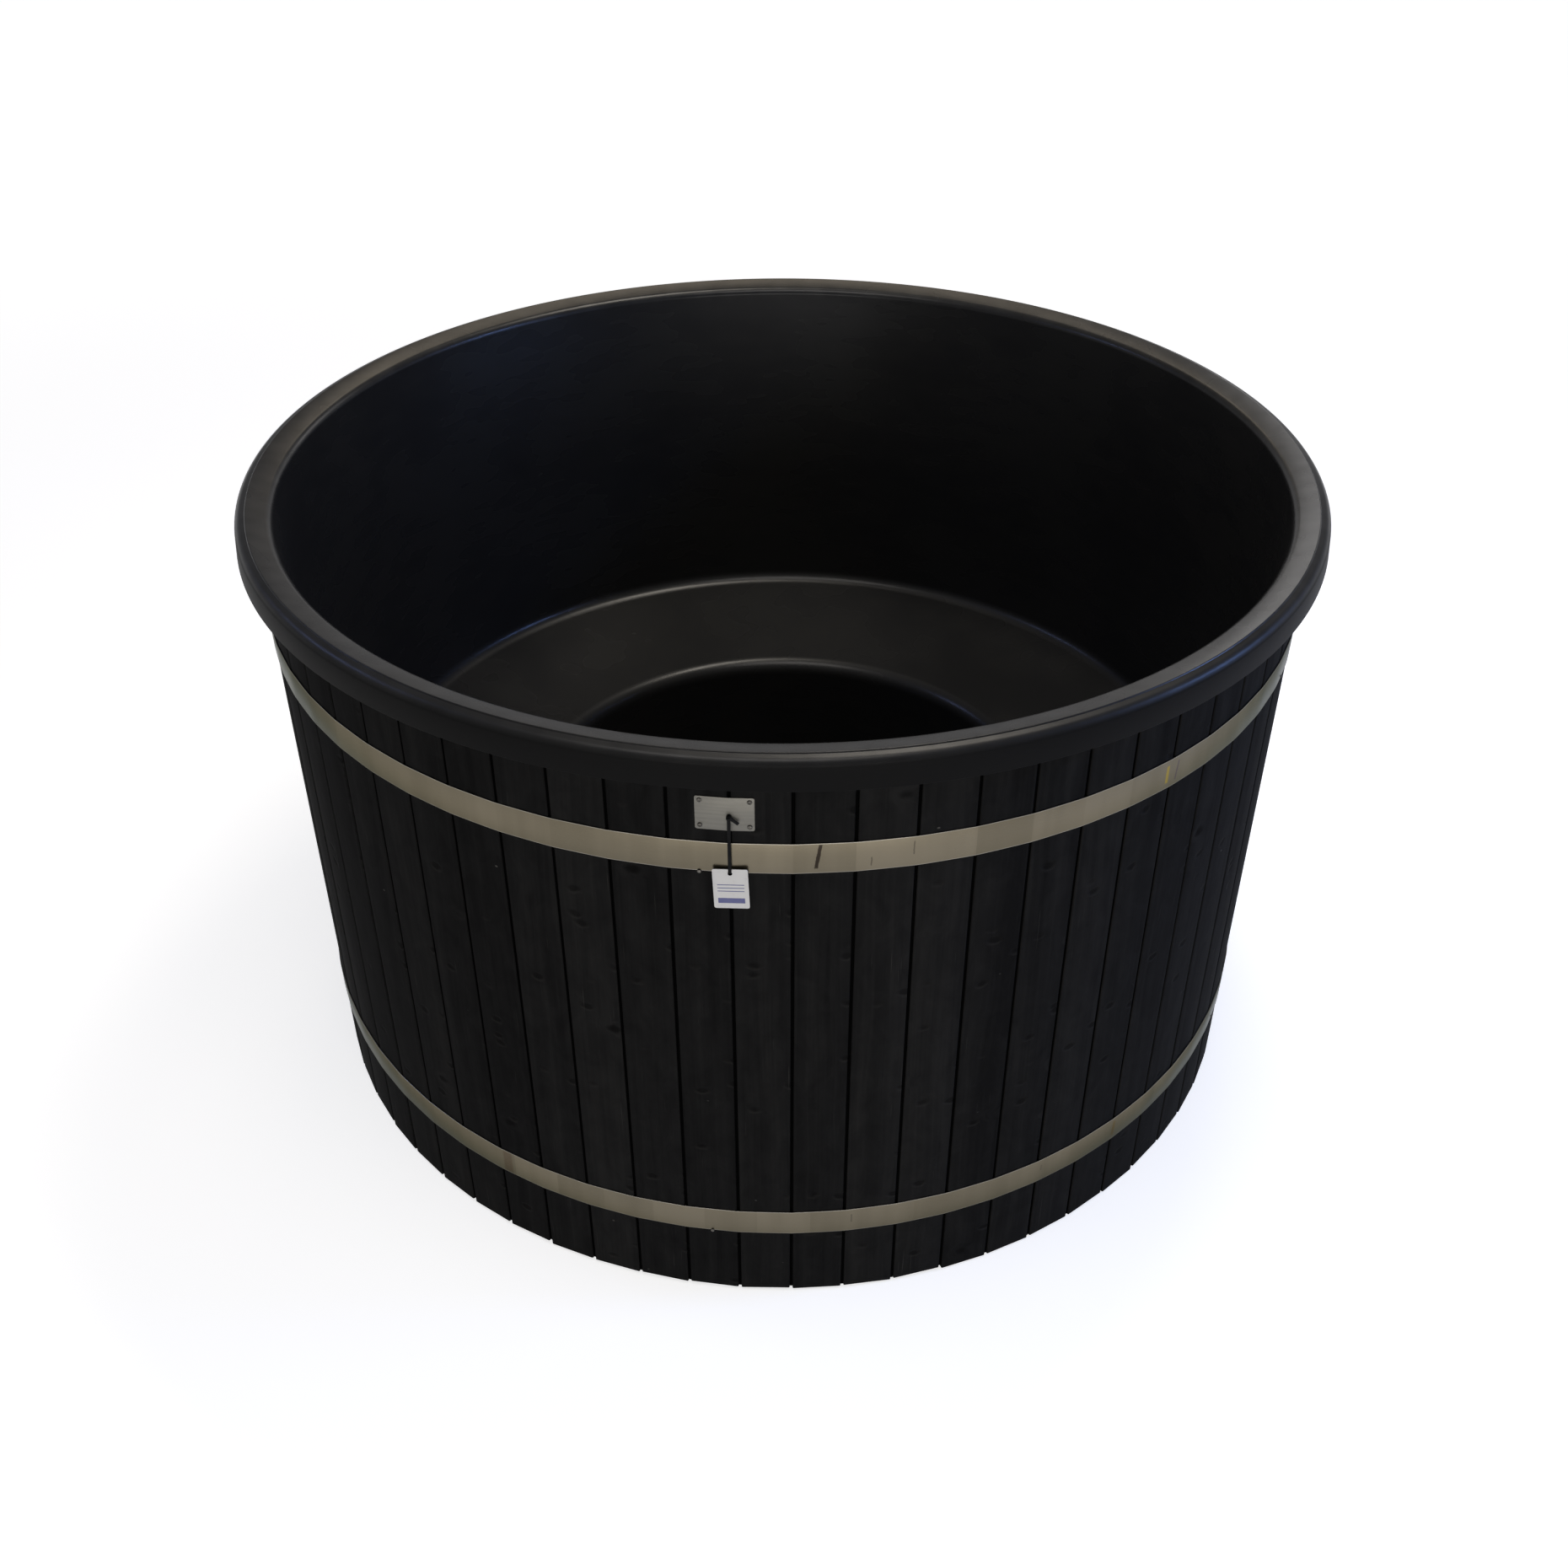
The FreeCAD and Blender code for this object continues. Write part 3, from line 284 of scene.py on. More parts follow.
linerLook = {
    "deep": (0.0090, 0.0090, 0.0093),
    "worn": (0.0116, 0.0114, 0.0111),
    "wearRange": (0.35, 0.65),
    "specular": 0.22,
    "roughness": 0.19,
    "sheen": 0.26,                        # soft gloss layer inside and on the rim
    "sheenRoughness": 0.46,
    "clouds": 4.0,                        # scales of the wear and of the moulding's waves
    "smears": 12.0,
    "waves": 9.0,
    "waveHeight": 0.45 * mm,
    "ripples": 30.0,
    "rippleHeight": 0.22 * mm,
    "rimFrom": (1.055, 1.082),            # heights between which the rim's ripple sets in
    "crestR": 0.8905,                     # past it the gloss is softer
    "crestSoftness": 0.09,
    # painted shade: the lip's outer face takes darker copies of the shell's two tones
    "lip": (0.0068, 0.0068, 0.0070),
    "lipWorn": (0.0080, 0.0079, 0.0078),
    "lipRoughness": 0.5,
    "lipSpecular": 0.03,
    "dullFromR": 0.895,
    "dullBetween": (1.0925, 1.0845),      # heights on the lip between which the gloss is lost and the painted shade sets in
}


def mouldedPlastic():
    look = linerLook
    finish = Finish("mouldedPlastic", specular=look["specular"], coatRoughness=look["sheenRoughness"])
    place = finish.place()
    clouds = finish.noise(place, look["clouds"], 1.0, 0.5)
    smears = finish.noise(finish.stretched(place, (1, 1, 3)), look["smears"], 1.0, 0.5)
    waves = finish.noise(place, look["waves"], 1.0, 0.4)
    ripple = finish.noise(place, look["ripples"], 1.0, 0.4)
    wear = finish.fit(0.6 * clouds + 0.4 * smears, *look["wearRange"])
    height = finish.split(place, "Z")[0]
    away = finish.fromAxis()
    rim = finish.fit(height, *look["rimFrom"])
    normal = finish.bump(waves * look["waveHeight"] + rim * ripple * look["rippleHeight"], 1.0)
    soft = look["crestSoftness"] * (away > look["crestR"])
    finish.feed(colour=finish.mix(wear, look["deep"], look["worn"]), normal=normal)
    finish.feed(roughness=look["roughness"] + 0.10 * clouds + 0.06 * smears + soft)
    finish.feed(coat=look["sheen"] * (0.7 + 0.6 * clouds) * (1.0 + rim * (1.5 * ripple - 0.75)))
    outside = (away > look["dullFromR"]) * finish.fit(height, *look["dullBetween"])
    # painted shade: outside, the lip gets a matt shader with the darker lip colours
    shadedLipColour = finish.mix(clouds, look["lip"], look["lipWorn"])
    return finish.dulled(outside, shadedLipColour, normal, look["lipRoughness"], look["lipSpecular"]).material


lowerHoopStart = 10.0     # the lower hoop's map starts this far along, so that the two differ
hoopLook = {
    "steel": (0.166, 0.144, 0.104),
    "shade": (0.128, 0.111, 0.079),
    "toneRange": (0.34, 0.68),
    "roughness": 0.20,
    "relief": 0.02 * mm,
    "brushed": (3, 1500),                 # scales along and up the band
    "upright": (26, 2),
    "patches": (7, 5),
    "grime": (0.030, 0.024, 0.020),
    "ticks": (240, 30),
    "tickRange": (0.76, 0.82),
    "stain": (0.080, 0.060, 0.038),
    "stains": (17, 11),
    "stainLayer": 4.0,
    "stainRange": (0.66, 0.80),
    # painted highlight colour for the band's edges
    "edge": (0.34, 0.32, 0.28),
    "edgeBetween": (0.0236, 0.0246),      # the band's edges get a painted highlight
    "edgeTint": (0.38, 0.41, 0.41),       # dulls the band where it turns away
    "facet": 0.0850,                      # the band bends at each board's edge
    "ragged": (160, 160),
    "raggedReach": 2.2 * mm,
    "marks": (                            # along, height, half width, half height, lean, strength, tint
        (0.1190, 0.003, 0.0031, 0.022, 0.15, 0.92, (0.020, 0.015, 0.012)),
        (0.2500, 0.006, 0.0014, 0.012, 0.00, 0.60, (0.050, 0.042, 0.034)),
        (0.1915, -0.010, 0.0012, 0.008, 0.05, 0.60, (0.040, 0.032, 0.026)),
        (0.6690, 0.000, 0.0035, 0.016, 0.00, 0.70, (0.300, 0.220, 0.040)),
        (0.6900, 0.000, 0.0016, 0.018, 0.10, 0.60, (0.060, 0.040, 0.070)),
        (lowerHoopStart - 0.4097, 0.000, 0.0110, 0.026, 0.00, 0.55, (0.085, 0.060, 0.042)),
        (lowerHoopStart + 0.6809, 0.000, 0.0040, 0.018, 0.05, 0.55, (0.120, 0.080, 0.030)),
        (lowerHoopStart + 0.1817, 0.004, 0.0015, 0.010, 0.00, 0.50, (0.060, 0.050, 0.040)),
        (lowerHoopStart + 0.5176, 0.006, 0.0012, 0.007, 0.00, 0.50, (0.055, 0.046, 0.038)),
    ),
}


def bandSteel():
    look = hoopLook
    finish = Finish("bandSteel", metallic=1.0, edgeTint=look["edgeTint"])
    along, up = band = finish.map("band")
    flat = (along * (1 / look["facet"])).floor()
    facet = finish.node("TexWhiteNoise", {"noise_dimensions": "1D"}, {"W": flat})
    brushed = finish.grain(band, look["brushed"], roughness=0.7)
    upright = finish.grain(band, look["upright"], detail=2.0, roughness=0.5)
    patches = finish.grain(band, look["patches"])
    ticks = finish.fit(finish.grain(band, look["ticks"], detail=2.0), *look["tickRange"])
    stains = finish.fit(finish.grain(band, look["stains"], look["stainLayer"]), *look["stainRange"])
    # painted reflection: the facet term makes each flat of the band lighter or darker at random
    tone = 0.35 * upright + 0.35 * patches + 0.22 * facet + 0.12 * brushed
    colour = finish.mix(finish.fit(tone, *look["toneRange"]), look["shade"], look["steel"])
    colour = finish.mix(0.35 * stains, colour, look["stain"])
    colour = finish.mix(0.5 * ticks, colour, look["grime"])
    ragged = look["raggedReach"] * (finish.grain(band, look["ragged"], detail=2.0) - 0.5)
    for start, height, halfWidth, halfHeight, lean, strength, tint in look["marks"]:
        side = abs(along - start - lean * (up - height) + ragged)
        rise = abs(up - height + ragged)
        mark = finish.fit(side, halfWidth, 0.6 * halfWidth) * finish.fit(rise, halfHeight, 0.85 * halfHeight)
        colour = finish.mix(strength * mark, colour, tint)
    # painted highlight along the band's top and bottom edges
    colour = finish.mix(0.7 * finish.fit(abs(up), *look["edgeBetween"]), colour, look["edge"])
    roughness = look["roughness"] + 0.10 * brushed + 0.08 * patches + 0.15 * ticks
    normal = finish.bump(0.6 * brushed + 0.4 * upright, look["relief"])
    return finish.feed(colour=colour, roughness=roughness, normal=normal).material


metalLook = {"clouds": 60.0, "grains": 900.0, "dullRange": (0.35, 0.65), "relief": 0.03 * mm}


def wornMetal(name, bright, dull, roughness, stretch=(1, 1, 1)):
    look = metalLook
    finish = Finish(name, metallic=1.0)
    place = finish.stretched(finish.place(), stretch)
    clouds = finish.noise(place, look["clouds"], 4.0, 0.6)
    grains = finish.noise(place, look["grains"], 3.0, 0.7)
    colour = finish.mix(finish.fit(clouds, *look["dullRange"]), dull, bright)
    finish.feed(colour=colour, roughness=roughness + 0.14 * clouds + 0.08 * grains)
    return finish.feed(normal=finish.bump(grains, look["relief"])).material


mouldedLook = {"clouds": 45.0, "grains": 1100.0, "lightRange": (0.3, 0.7), "relief": 0.05 * mm}


def mouldedPart(name, dark, light, roughness, specular=0.5):
    look = mouldedLook
    finish = Finish(name, specular=specular)
    place = finish.place()
    clouds = finish.noise(place, look["clouds"], 4.0, 0.6)
    grains = finish.noise(place, look["grains"], 2.0)
    finish.feed(colour=finish.mix(finish.fit(clouds, *look["lightRange"]), dark, light))
    finish.feed(roughness=roughness + 0.12 * clouds + 0.06 * grains)
    return finish.feed(normal=finish.bump(grains, look["relief"])).material


cardLook = {
    "card": (0.64, 0.64, 0.635),
    "worn": (0.54, 0.53, 0.52),
    "wearRange": (0.5, 0.8, 0.0, 0.6),
    "ink": (0.030, 0.040, 0.20),
    "specular": 0.35,
    "roughness": 0.42,
    "fibres": (900, 900),
    "smears": (60, 60),
    "relief": 0.02 * mm,
    "margin": 18.5 * mm,                  # nothing is printed past it
    "stripes": (                          # height and half height of a plain bar and of three rules
        (13.5 * mm, 4.5 * mm), (30.0 * mm, 0.7 * mm), (35.5 * mm, 0.7 * mm), (41.0 * mm, 0.7 * mm),
    ),
}


def tagCard():
    look = cardLook
    finish = Finish("tagCard", specular=look["specular"])
    across, up = face = finish.map("card")
    fibres = finish.grain(face, look["fibres"])
    smears = finish.grain(face, look["smears"])
    colour = finish.mix(finish.fit(smears, *look["wearRange"]), look["card"], look["worn"])
    stripes = sum(1.0 - (abs(up - height) > half) for height, half in look["stripes"])
    printed = stripes * (1.0 - (abs(across) > look["margin"]))
    colour = finish.mix(printed * (0.82 + 0.1 * smears), colour, look["ink"])
    finish.feed(colour=colour, roughness=look["roughness"] + 0.15 * fibres)
    return finish.feed(normal=finish.bump(fibres, look["relief"])).material


bearerLook = {
    "dark": (0.22, 0.13, 0.065),
    "pale": (0.40, 0.27, 0.15),
    "tones": (0.32, 0.62),
    "specular": 0.3,
    "roughness": 0.62,
    "grain": (160, 3, 160),               # it runs along Y, as the bearers do
    "swerve": 3.0,
    "relief": 0.4 * mm,
}


def bearerPine():
    look = bearerLook
    finish = Finish("bearerPine", specular=look["specular"])
    place = finish.place()
    swerve = finish.noise(place, look["swerve"], 2.0)
    lines = finish.noise(finish.stretched(place, look["grain"]), 1.0, 5.0, 0.6, 0.4)
    colour = finish.ramp(0.75 * lines + 0.25 * swerve, *zip(look["tones"], (look["dark"], look["pale"])))
    finish.feed(colour=colour, roughness=look["roughness"] + 0.2 * lines)
    return finish.feed(normal=finish.bump(lines, look["relief"])).material


plyLook = {
    "dark": (0.20, 0.125, 0.065),
    "pale": (0.46, 0.33, 0.20),
    "tones": (0.25, 0.75),
    "specular": 0.3,
    "roughness": 0.66,
    "grain": (7, 60, 7),
    "plies": 62.0,
    "relief": 0.3 * mm,
}


def plywood():
    look = plyLook
    finish = Finish("plywood", specular=look["specular"])
    place = finish.place()
    face = finish.noise(finish.stretched(place, look["grain"]), 1.0, 5.0, 0.6, 0.6)
    plies = finish.node("TexWave", {"wave_type": "BANDS", "bands_direction": "Z"},
                        {"Vector": place, "Scale": look["plies"], "Distortion": 0.4, "Detail": 2.0})
    colour = finish.ramp(0.65 * face + 0.35 * plies, *zip(look["tones"], (look["dark"], look["pale"])))
    finish.feed(colour=colour, roughness=look["roughness"] + 0.15 * face)
    return finish.feed(normal=finish.bump(face, look["relief"])).material


foamLook = {
    "pale": (0.62, 0.62, 0.60),
    "shade": (0.44, 0.44, 0.43),
    "specular": 0.2,
    "roughness": 0.78,
    "pores": 320.0,
    "clouds": 20.0,
    "relief": 0.8 * mm,
}


def foamJacket():
    look = foamLook
    finish = Finish("foamJacket", specular=look["specular"])
    place = finish.place()
    pores = finish.cells(place, look["pores"])
    clouds = finish.noise(place, look["clouds"], 3.0)
    colour = finish.mix(pores, look["pale"], look["shade"])
    finish.feed(colour=colour, roughness=look["roughness"] + 0.1 * clouds)
    return finish.feed(normal=finish.bump(pores, look["relief"])).material


finishes = {
    "liner_plastic": mouldedPlastic(),
    "stave_wood": stainedBoards(),
    "hoop_steel": bandSteel(),
    "fastener_steel": wornMetal("zincSteel", (0.120, 0.114, 0.102), (0.066, 0.062, 0.056), 0.34),
    # painted shade: this near-black nail stands for the dark hole at the top of the tie
    "black_nail": wornMetal("blackNail", (0.012, 0.012, 0.012), (0.007, 0.007, 0.007), 0.50),
    "nail_steel": wornMetal("nailSteel", (0.130, 0.123, 0.110), (0.070, 0.066, 0.060), 0.36),
    "plate_metal": wornMetal("plateMetal", (0.160, 0.154, 0.136), (0.138, 0.133, 0.118), 0.40,
                             (0.15, 0.15, 4)),    # brushed sideways
    "tie_plastic": mouldedPart("tieNylon", (0.005, 0.005, 0.0055), (0.009, 0.009, 0.0095), 0.42, 0.05),
    "tag_card": tagCard(),
    "bearer_wood": bearerPine(),
    "ply_wood": plywood(),
    "insulation_foam": foamJacket(),
    "pipe_steel": wornMetal("pipeSteel", (0.56, 0.55, 0.53), (0.42, 0.41, 0.39), 0.28),
    "seal_rubber": mouldedPart("sealRubber", (0.012, 0.012, 0.012), (0.022, 0.022, 0.022), 0.62, 0.3),
    "fitting_plastic": mouldedPart("fittingPlastic", (0.012, 0.012, 0.013), (0.020, 0.020, 0.021), 0.42),
    "valve_brass": wornMetal("valveBrass", (0.66, 0.48, 0.22), (0.42, 0.29, 0.12), 0.30),
    "seat_plastic": mouldedPart("whiteSeat", (0.70, 0.70, 0.68), (0.80, 0.80, 0.78), 0.35),
    "ball_chrome": wornMetal("chromeBall", (0.82, 0.82, 0.82), (0.74, 0.74, 0.74), 0.08),
    "lever_steel": wornMetal("leverSteel", (0.52, 0.51, 0.49), (0.36, 0.35, 0.33), 0.34),
    "grip_rubber": mouldedPart("gripVinyl", (0.012, 0.012, 0.013), (0.020, 0.020, 0.022), 0.48, 0.4),
}
print("finishes:", len(finishes))


# Modelling helpers

def wholeGeometry(bm):
    return bm.verts[:] + bm.edges[:] + bm.faces[:]


def roundEdges(bm, edges, width, segments=2):
    bmesh.ops.bevel(bm, geom=edges, offset=width, offset_type="OFFSET", affect="EDGES", segments=segments,
                    profile=0.5, material=-1, clamp_overlap=True)


def roundCorners(bm, verts, width, segments):
    bmesh.ops.bevel(bm, geom=verts, offset=width, offset_type="OFFSET", affect="VERTICES", segments=segments,
                    profile=0.5, material=-1, clamp_overlap=True)


def sharpEdges(bm, degrees=35.0):
    pairs = [edge for edge in bm.edges if len(edge.link_faces) == 2]
    return [edge for edge in pairs if edge.calc_face_angle() > math.radians(degrees)]


def spunRing(bm, steps, angle=math.tau):  # all that is drawn, spun round the tub's axis
    bmesh.ops.spin(bm, geom=wholeGeometry(bm), cent=(0, 0, 0), axis=(0, 0, 1), angle=angle, steps=steps,
                   use_merge=angle == math.tau)
    bmesh.ops.remove_doubles(bm, verts=bm.verts, dist=mergeDistance)
    bmesh.ops.recalc_face_normals(bm, faces=bm.faces)


def roundedWire(bm, corners, segments):  # (r, z, radius) corners of a profile, each rounded to its radius
    verts = [bm.verts.new((r, 0, z)) for r, z, _ in corners]
    for pair in zip(verts, verts[1:]):
        bm.edges.new(pair)
    for vert, (_, _, radius) in zip(verts, corners):
        if radius:
            sides = [edge.other_vert(vert).co - vert.co for edge in vert.link_edges]
            roundCorners(bm, [vert], radius / math.tan(sides[0].angle(sides[1]) / 2), segments)


def turnTo(bm, azimuth):
    bmesh.ops.rotate(bm, verts=bm.verts, cent=(0, 0, 0), matrix=Matrix.Rotation(azimuth, 3, "Z"))


def finished(name, bm, *nodes, sharpAngle=38.0):  # the piece takes the place, finish and body of its nodes
    mesh = bpy.data.meshes.new(name)
    bm.to_mesh(mesh)
    bm.free()
    for face in mesh.polygons:
        face.use_smooth = True
    mesh.set_sharp_from_angle(angle=math.radians(sharpAngle))
    mesh.materials.append(finishes[slotOf[nodes[0]]])
    piece = bpy.data.objects.new(name, mesh)
    bpy.context.scene.collection.objects.link(piece)
    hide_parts(*nodes)
    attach(piece, bodyOf[nodes[0]])
    return piece


sameFace = math.radians(0.5)     # triangles that turn less than this are one face


def eased(node, width, segments=2):  # a copy of a hard part with its sharp edges rounded off
    bm = bmesh.new()
    bm.from_mesh(frame["nodes"][node].data)
    bmesh.ops.remove_doubles(bm, verts=bm.verts, dist=mergeDistance)
    bmesh.ops.dissolve_limit(bm, angle_limit=sameFace, verts=bm.verts, edges=bm.edges)
    roundEdges(bm, sharpEdges(bm), width, segments)
    words = node.split("_")
    return finished(words[0] + "".join(word.capitalize() for word in words[1:]), bm, node)


# Liner: one moulded shell with a bench, a foot well, a banked rim and a rolled lip

_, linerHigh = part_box("tub_liner")
liner = {
    "wall": 8 * mm,
    "steps": 288,
    "segments": 8,
    "rimBand": (0.84845, -10.5 * mm, 15 * mm),    # radius, height from the crest, rounding
    "crest": (0.88905, 0.0, 1.4 * mm),
    "step": (0.89045, -1.8 * mm, 0.8 * mm),
    "shoulder": (0.90655, -5.0 * mm, 14 * mm),
    "lipDepth": 48 * mm,
    "lipInset": 0.16 * mm,                        # keeps the lip's lowest edge inside the CAD box
    "benchOuter": (0.79284, 0.424, 26 * mm),
    "benchNose": (0.47984, 0.384, 32 * mm),
    "wellFloor": (0.46517, 0.048, 20 * mm),
    "lipEdge": 2.5 * mm,
    "lipEdgeBand": 4 * mm,                        # how far below the lip's depth its edges may lie
    "lipEdgeAngle": 50,
}


def moulding():
    top = linerHigh.z
    corners = [(0.0, liner["wellFloor"][1], 0.0), liner["wellFloor"], liner["benchNose"], liner["benchOuter"]]
    corners += [(r, top + drop, rounding) for r, drop, rounding in
                (liner["rimBand"], liner["crest"], liner["step"], liner["shoulder"])]
    corners.append((linerHigh.x - liner["lipInset"], top - liner["lipDepth"], 0.0))
    bm = bmesh.new()
    roundedWire(bm, corners, liner["segments"])
    spunRing(bm, liner["steps"])
    return bm


def linerShell():
    bm = moulding()
    floorFace = min(bm.faces, key=lambda face: face.calc_center_median().length)
    if floorFace.normal.z < 0:                      # the inside faces up and in
        bmesh.ops.reverse_faces(bm, faces=bm.faces)
    bmesh.ops.solidify(bm, geom=bm.faces[:], thickness=liner["wall"])
    bmesh.ops.recalc_face_normals(bm, faces=bm.faces)
    lowest = linerHigh.z - liner["lipDepth"] - liner["lipEdgeBand"]
    lipEdges = [edge for edge in sharpEdges(bm, liner["lipEdgeAngle"])
                if min(vert.co.z for vert in edge.verts) > lowest]
    roundEdges(bm, lipEdges, liner["lipEdge"], 3)
    return finished("linerShell", bm, "tub_liner")


linerShell()
print("liner: lip", round(linerHigh.x, 4), "rim", round(linerHigh.z, 4))


# Boards: flat staves with a tongue across each shadow gap; ends are cut a little uneven

boards = {
    "count": 65,
    "perGroup": 5,
    "cover": 85 * mm,
    "gap": 5 * mm,
    "lip": 4 * mm,
    "thick": 20 * mm,
    "clear": 0.3 * mm,            # between one board and the next
    "edge": 2.2 * mm,
    "edgeSpread": (0.75, 1.25),
    "sunk": (0.15 * mm, 0.75 * mm),
    "twist": 0.22,
    "footSteps": 3.2 * mm,
    "footSlope": 0.028,
    "footZone": 10 * mm,
    "mapStep": 1.0,               # each board has its own stretch of the map
    "mapLean": 0.5,               # edges carry on the face's grain round the corner
    "seed": 11,
}
pitch = math.tau / boards["count"]
faceR = boards["cover"] / 2 / math.tan(pitch / 2)


def singleBoard(index, rng, foot, top):
    half = (boards["cover"] - boards["gap"]) / 2
    reach = half + boards["gap"] - boards["clear"]
    backHalf = (faceR - boards["thick"]) * math.tan(pitch / 2) - boards["clear"]
    outline = [(-half, 0), (half, 0), (half, boards["lip"]), (reach, boards["lip"]),
               (backHalf, boards["thick"]), (-backHalf, boards["thick"]), (-half, boards["lip"])]
    bm = bmesh.new()
    face = bm.faces.new([bm.verts.new((x, depth - faceR, foot)) for x, depth in outline])
    grown = bmesh.ops.extrude_face_region(bm, geom=[face])["geom"]
    topVerts = [item for item in grown if isinstance(item, bmesh.types.BMVert)]
    bmesh.ops.translate(bm, verts=topVerts, vec=(0, 0, top - foot))
    bmesh.ops.recalc_face_normals(bm, faces=bm.faces)
    front = [edge for edge in bm.edges if all(vert.co.y < -faceR + mergeDistance for vert in edge.verts)
             and max(vert.co.z for vert in edge.verts) > foot + mergeDistance]
    roundEdges(bm, front, boards["edge"] * rng.uniform(*boards["edgeSpread"]), 3)
    cut = rng.uniform(0, boards["footSteps"])
    slope = rng.uniform(-1, 1) * boards["footSlope"]
    for vert in bm.verts:
        if vert.co.z < foot + boards["footZone"]:
            vert.co.z += cut + slope * vert.co.x
    grain = bm.loops.layers.uv.new("grain")
    for face in bm.faces:
        for loop in face.loops:
            spot = loop.vert.co
            along = index * boards["mapStep"] + spot.x + boards["mapLean"] * (spot.y + faceR)
            loop[grain].uv = (along, spot.z)
    pivot = Vector((0, -faceR, 0))
    twist = math.radians(rng.uniform(-1, 1) * boards["twist"])
    bmesh.ops.rotate(bm, verts=bm.verts, cent=pivot, matrix=Matrix.Rotation(twist, 3, "Z"))
    bmesh.ops.translate(bm, verts=bm.verts, vec=(0, rng.uniform(*boards["sunk"]), 0))
    turnTo(bm, (index + 0.5) * pitch)
    mesh = bpy.data.meshes.new("board")
    bm.to_mesh(mesh)
    bm.free()
    return mesh


def boardGroups():
    rng = random.Random(boards["seed"])
    for start in range(0, boards["count"], boards["perGroup"]):
        node = f"staves_{start // boards['perGroup'] + 1:02d}"
        low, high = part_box(node)
        bm = bmesh.new()
        bm.loops.layers.uv.new("grain")
        for index in range(start, start + boards["perGroup"]):
            mesh = singleBoard(index, rng, low.z, high.z)
            bm.from_mesh(mesh)
            bpy.data.meshes.remove(mesh)
        finished(f"boards{node[-2:]}", bm, node)


boardGroups()
print("boards:", boards["count"], "at radius", round(faceR, 4))


# Hoops: bands that lie almost flat over each board and turn at its edges

hoops = {
    "thick": 1.5 * mm,
    "edge": 0.4 * mm,
    "opening": 30 * mm,
    "stepsPerBoard": 6,
    "dip": 0.75 * mm,
    "dipShape": 0.8,
    "innerR": 0.87960,
}


def hoopBand(name, node, start):
    low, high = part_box(node)
    inner = hoops["innerR"]
    outer = inner + hoops["thick"]
    gapAngle = 2 * math.asin(hoops["opening"] / 2 / outer)
    bm = bmesh.new()
    ends = [(0, outer, low.z), (0, inner, low.z), (0, inner, high.z), (0, outer, high.z)]
    section = bm.faces.new([bm.verts.new(end) for end in ends])
    roundCorners(bm, section.verts[:], hoops["edge"], 2)
    turnTo(bm, gapAngle / 2)                        # the opening is at +Y
    spunRing(bm, boards["count"] * hoops["stepsPerBoard"], math.tau - gapAngle)
    band = bm.loops.layers.uv.new("band")
    for face in bm.faces:
        back = math.atan2(face.calc_center_median().x, -face.calc_center_median().y)
        for loop in face.loops:
            azimuth = math.atan2(loop.vert.co.x, -loop.vert.co.y)
            azimuth += math.tau * round((back - azimuth) / math.tau)
            loop[band].uv = (start + azimuth * outer, loop.vert.co.z - (low.z + high.z) / 2)
    for vert in bm.verts:
        share = math.atan2(vert.co.x, -vert.co.y) / pitch % 1.0
        radius = vert.co.xy.length
        vert.co.xy *= (radius - hoops["dip"] * math.sin(math.pi * share) ** hoops["dipShape"]) / radius
    return finished(name, bm, node)


hoopBand("upperHoop", "upper_hoop", 0.0)
hoopBand("lowerHoop", "lower_hoop", lowerHoopStart)
print("hoops: two bands")


# Plate, its screws and nail, the tie and the card tag

plateLow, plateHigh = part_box("name_plate")
plate = {"thick": 1.2 * mm, "corner": 3 * mm, "edge": 0.25 * mm, "edgeAngle": 50, "screwInset": 6.5 * mm}


def namePlate():
    bm = bmesh.new()
    edgeR = faceR / math.cos(pitch / 2)
    lean = math.tan(pitch / 2)
    columns = [(x, -edgeR + abs(x) * lean) for x in (plateLow.x, 0.0, plateHigh.x)]
    rows = [[bm.verts.new((x, y, z)) for x, y in columns] for z in (plateLow.z, plateHigh.z)]
    for left in (0, 1):
        bm.faces.new([rows[0][left], rows[0][left + 1], rows[1][left + 1], rows[1][left]])
    outerCorners = [row[column] for row in rows for column in (0, 2)]
    roundCorners(bm, outerCorners, plate["corner"], 5)
    bmesh.ops.recalc_face_normals(bm, faces=bm.faces)
    if bm.faces[:][0].normal.y > 0:
        bmesh.ops.reverse_faces(bm, faces=bm.faces)
    bmesh.ops.solidify(bm, geom=bm.faces[:], thickness=-plate["thick"])
    bmesh.ops.recalc_face_normals(bm, faces=bm.faces)
    roundEdges(bm, sharpEdges(bm, plate["edgeAngle"]), plate["edge"], 2)
    return finished("namePlate", bm, "name_plate")


namePlate()

screws = {
    "headR": 3.6 * mm,
    "rise": 2.0 * mm,
    "domeShape": 0.8,
    "recess": 1.1 * mm,
    "slotHalf": 0.55 * mm,
    "slotReach": 2.3 * mm,
    "slotRamp": 0.6,              # the recess gets shallower towards the slots' ends
    "cells": 30,
    "turns": (0.3, 0.9, 0.1, 0.6),
}


def crossHead(bm, spot, turn):  # a domed head whose top is sunk along two crossed slots
    cells = screws["cells"]
    made = bmesh.ops.create_grid(bm, x_segments=cells, y_segments=cells, size=screws["headR"])
    for vert in made["verts"]:
        reach = max(abs(vert.co.x), abs(vert.co.y))
        if reach:
            vert.co.xy *= reach / vert.co.xy.length     # the square grid becomes a disc
        inner = vert.co.xy.length / screws["headR"]
        vert.co.z = screws["rise"] * math.sqrt(max(0.0, 1 - inner ** 2)) ** screws["domeShape"]
        off, along = sorted((abs(vert.co.x), abs(vert.co.y)))
        if along < screws["slotReach"] and off < screws["slotHalf"]:
            vert.co.z -= screws["recess"] * (1 - screws["slotRamp"] * along / screws["slotReach"])
    bmesh.ops.transform(bm, matrix=spot @ Matrix.Rotation(turn, 4, "Z"), verts=made["verts"])


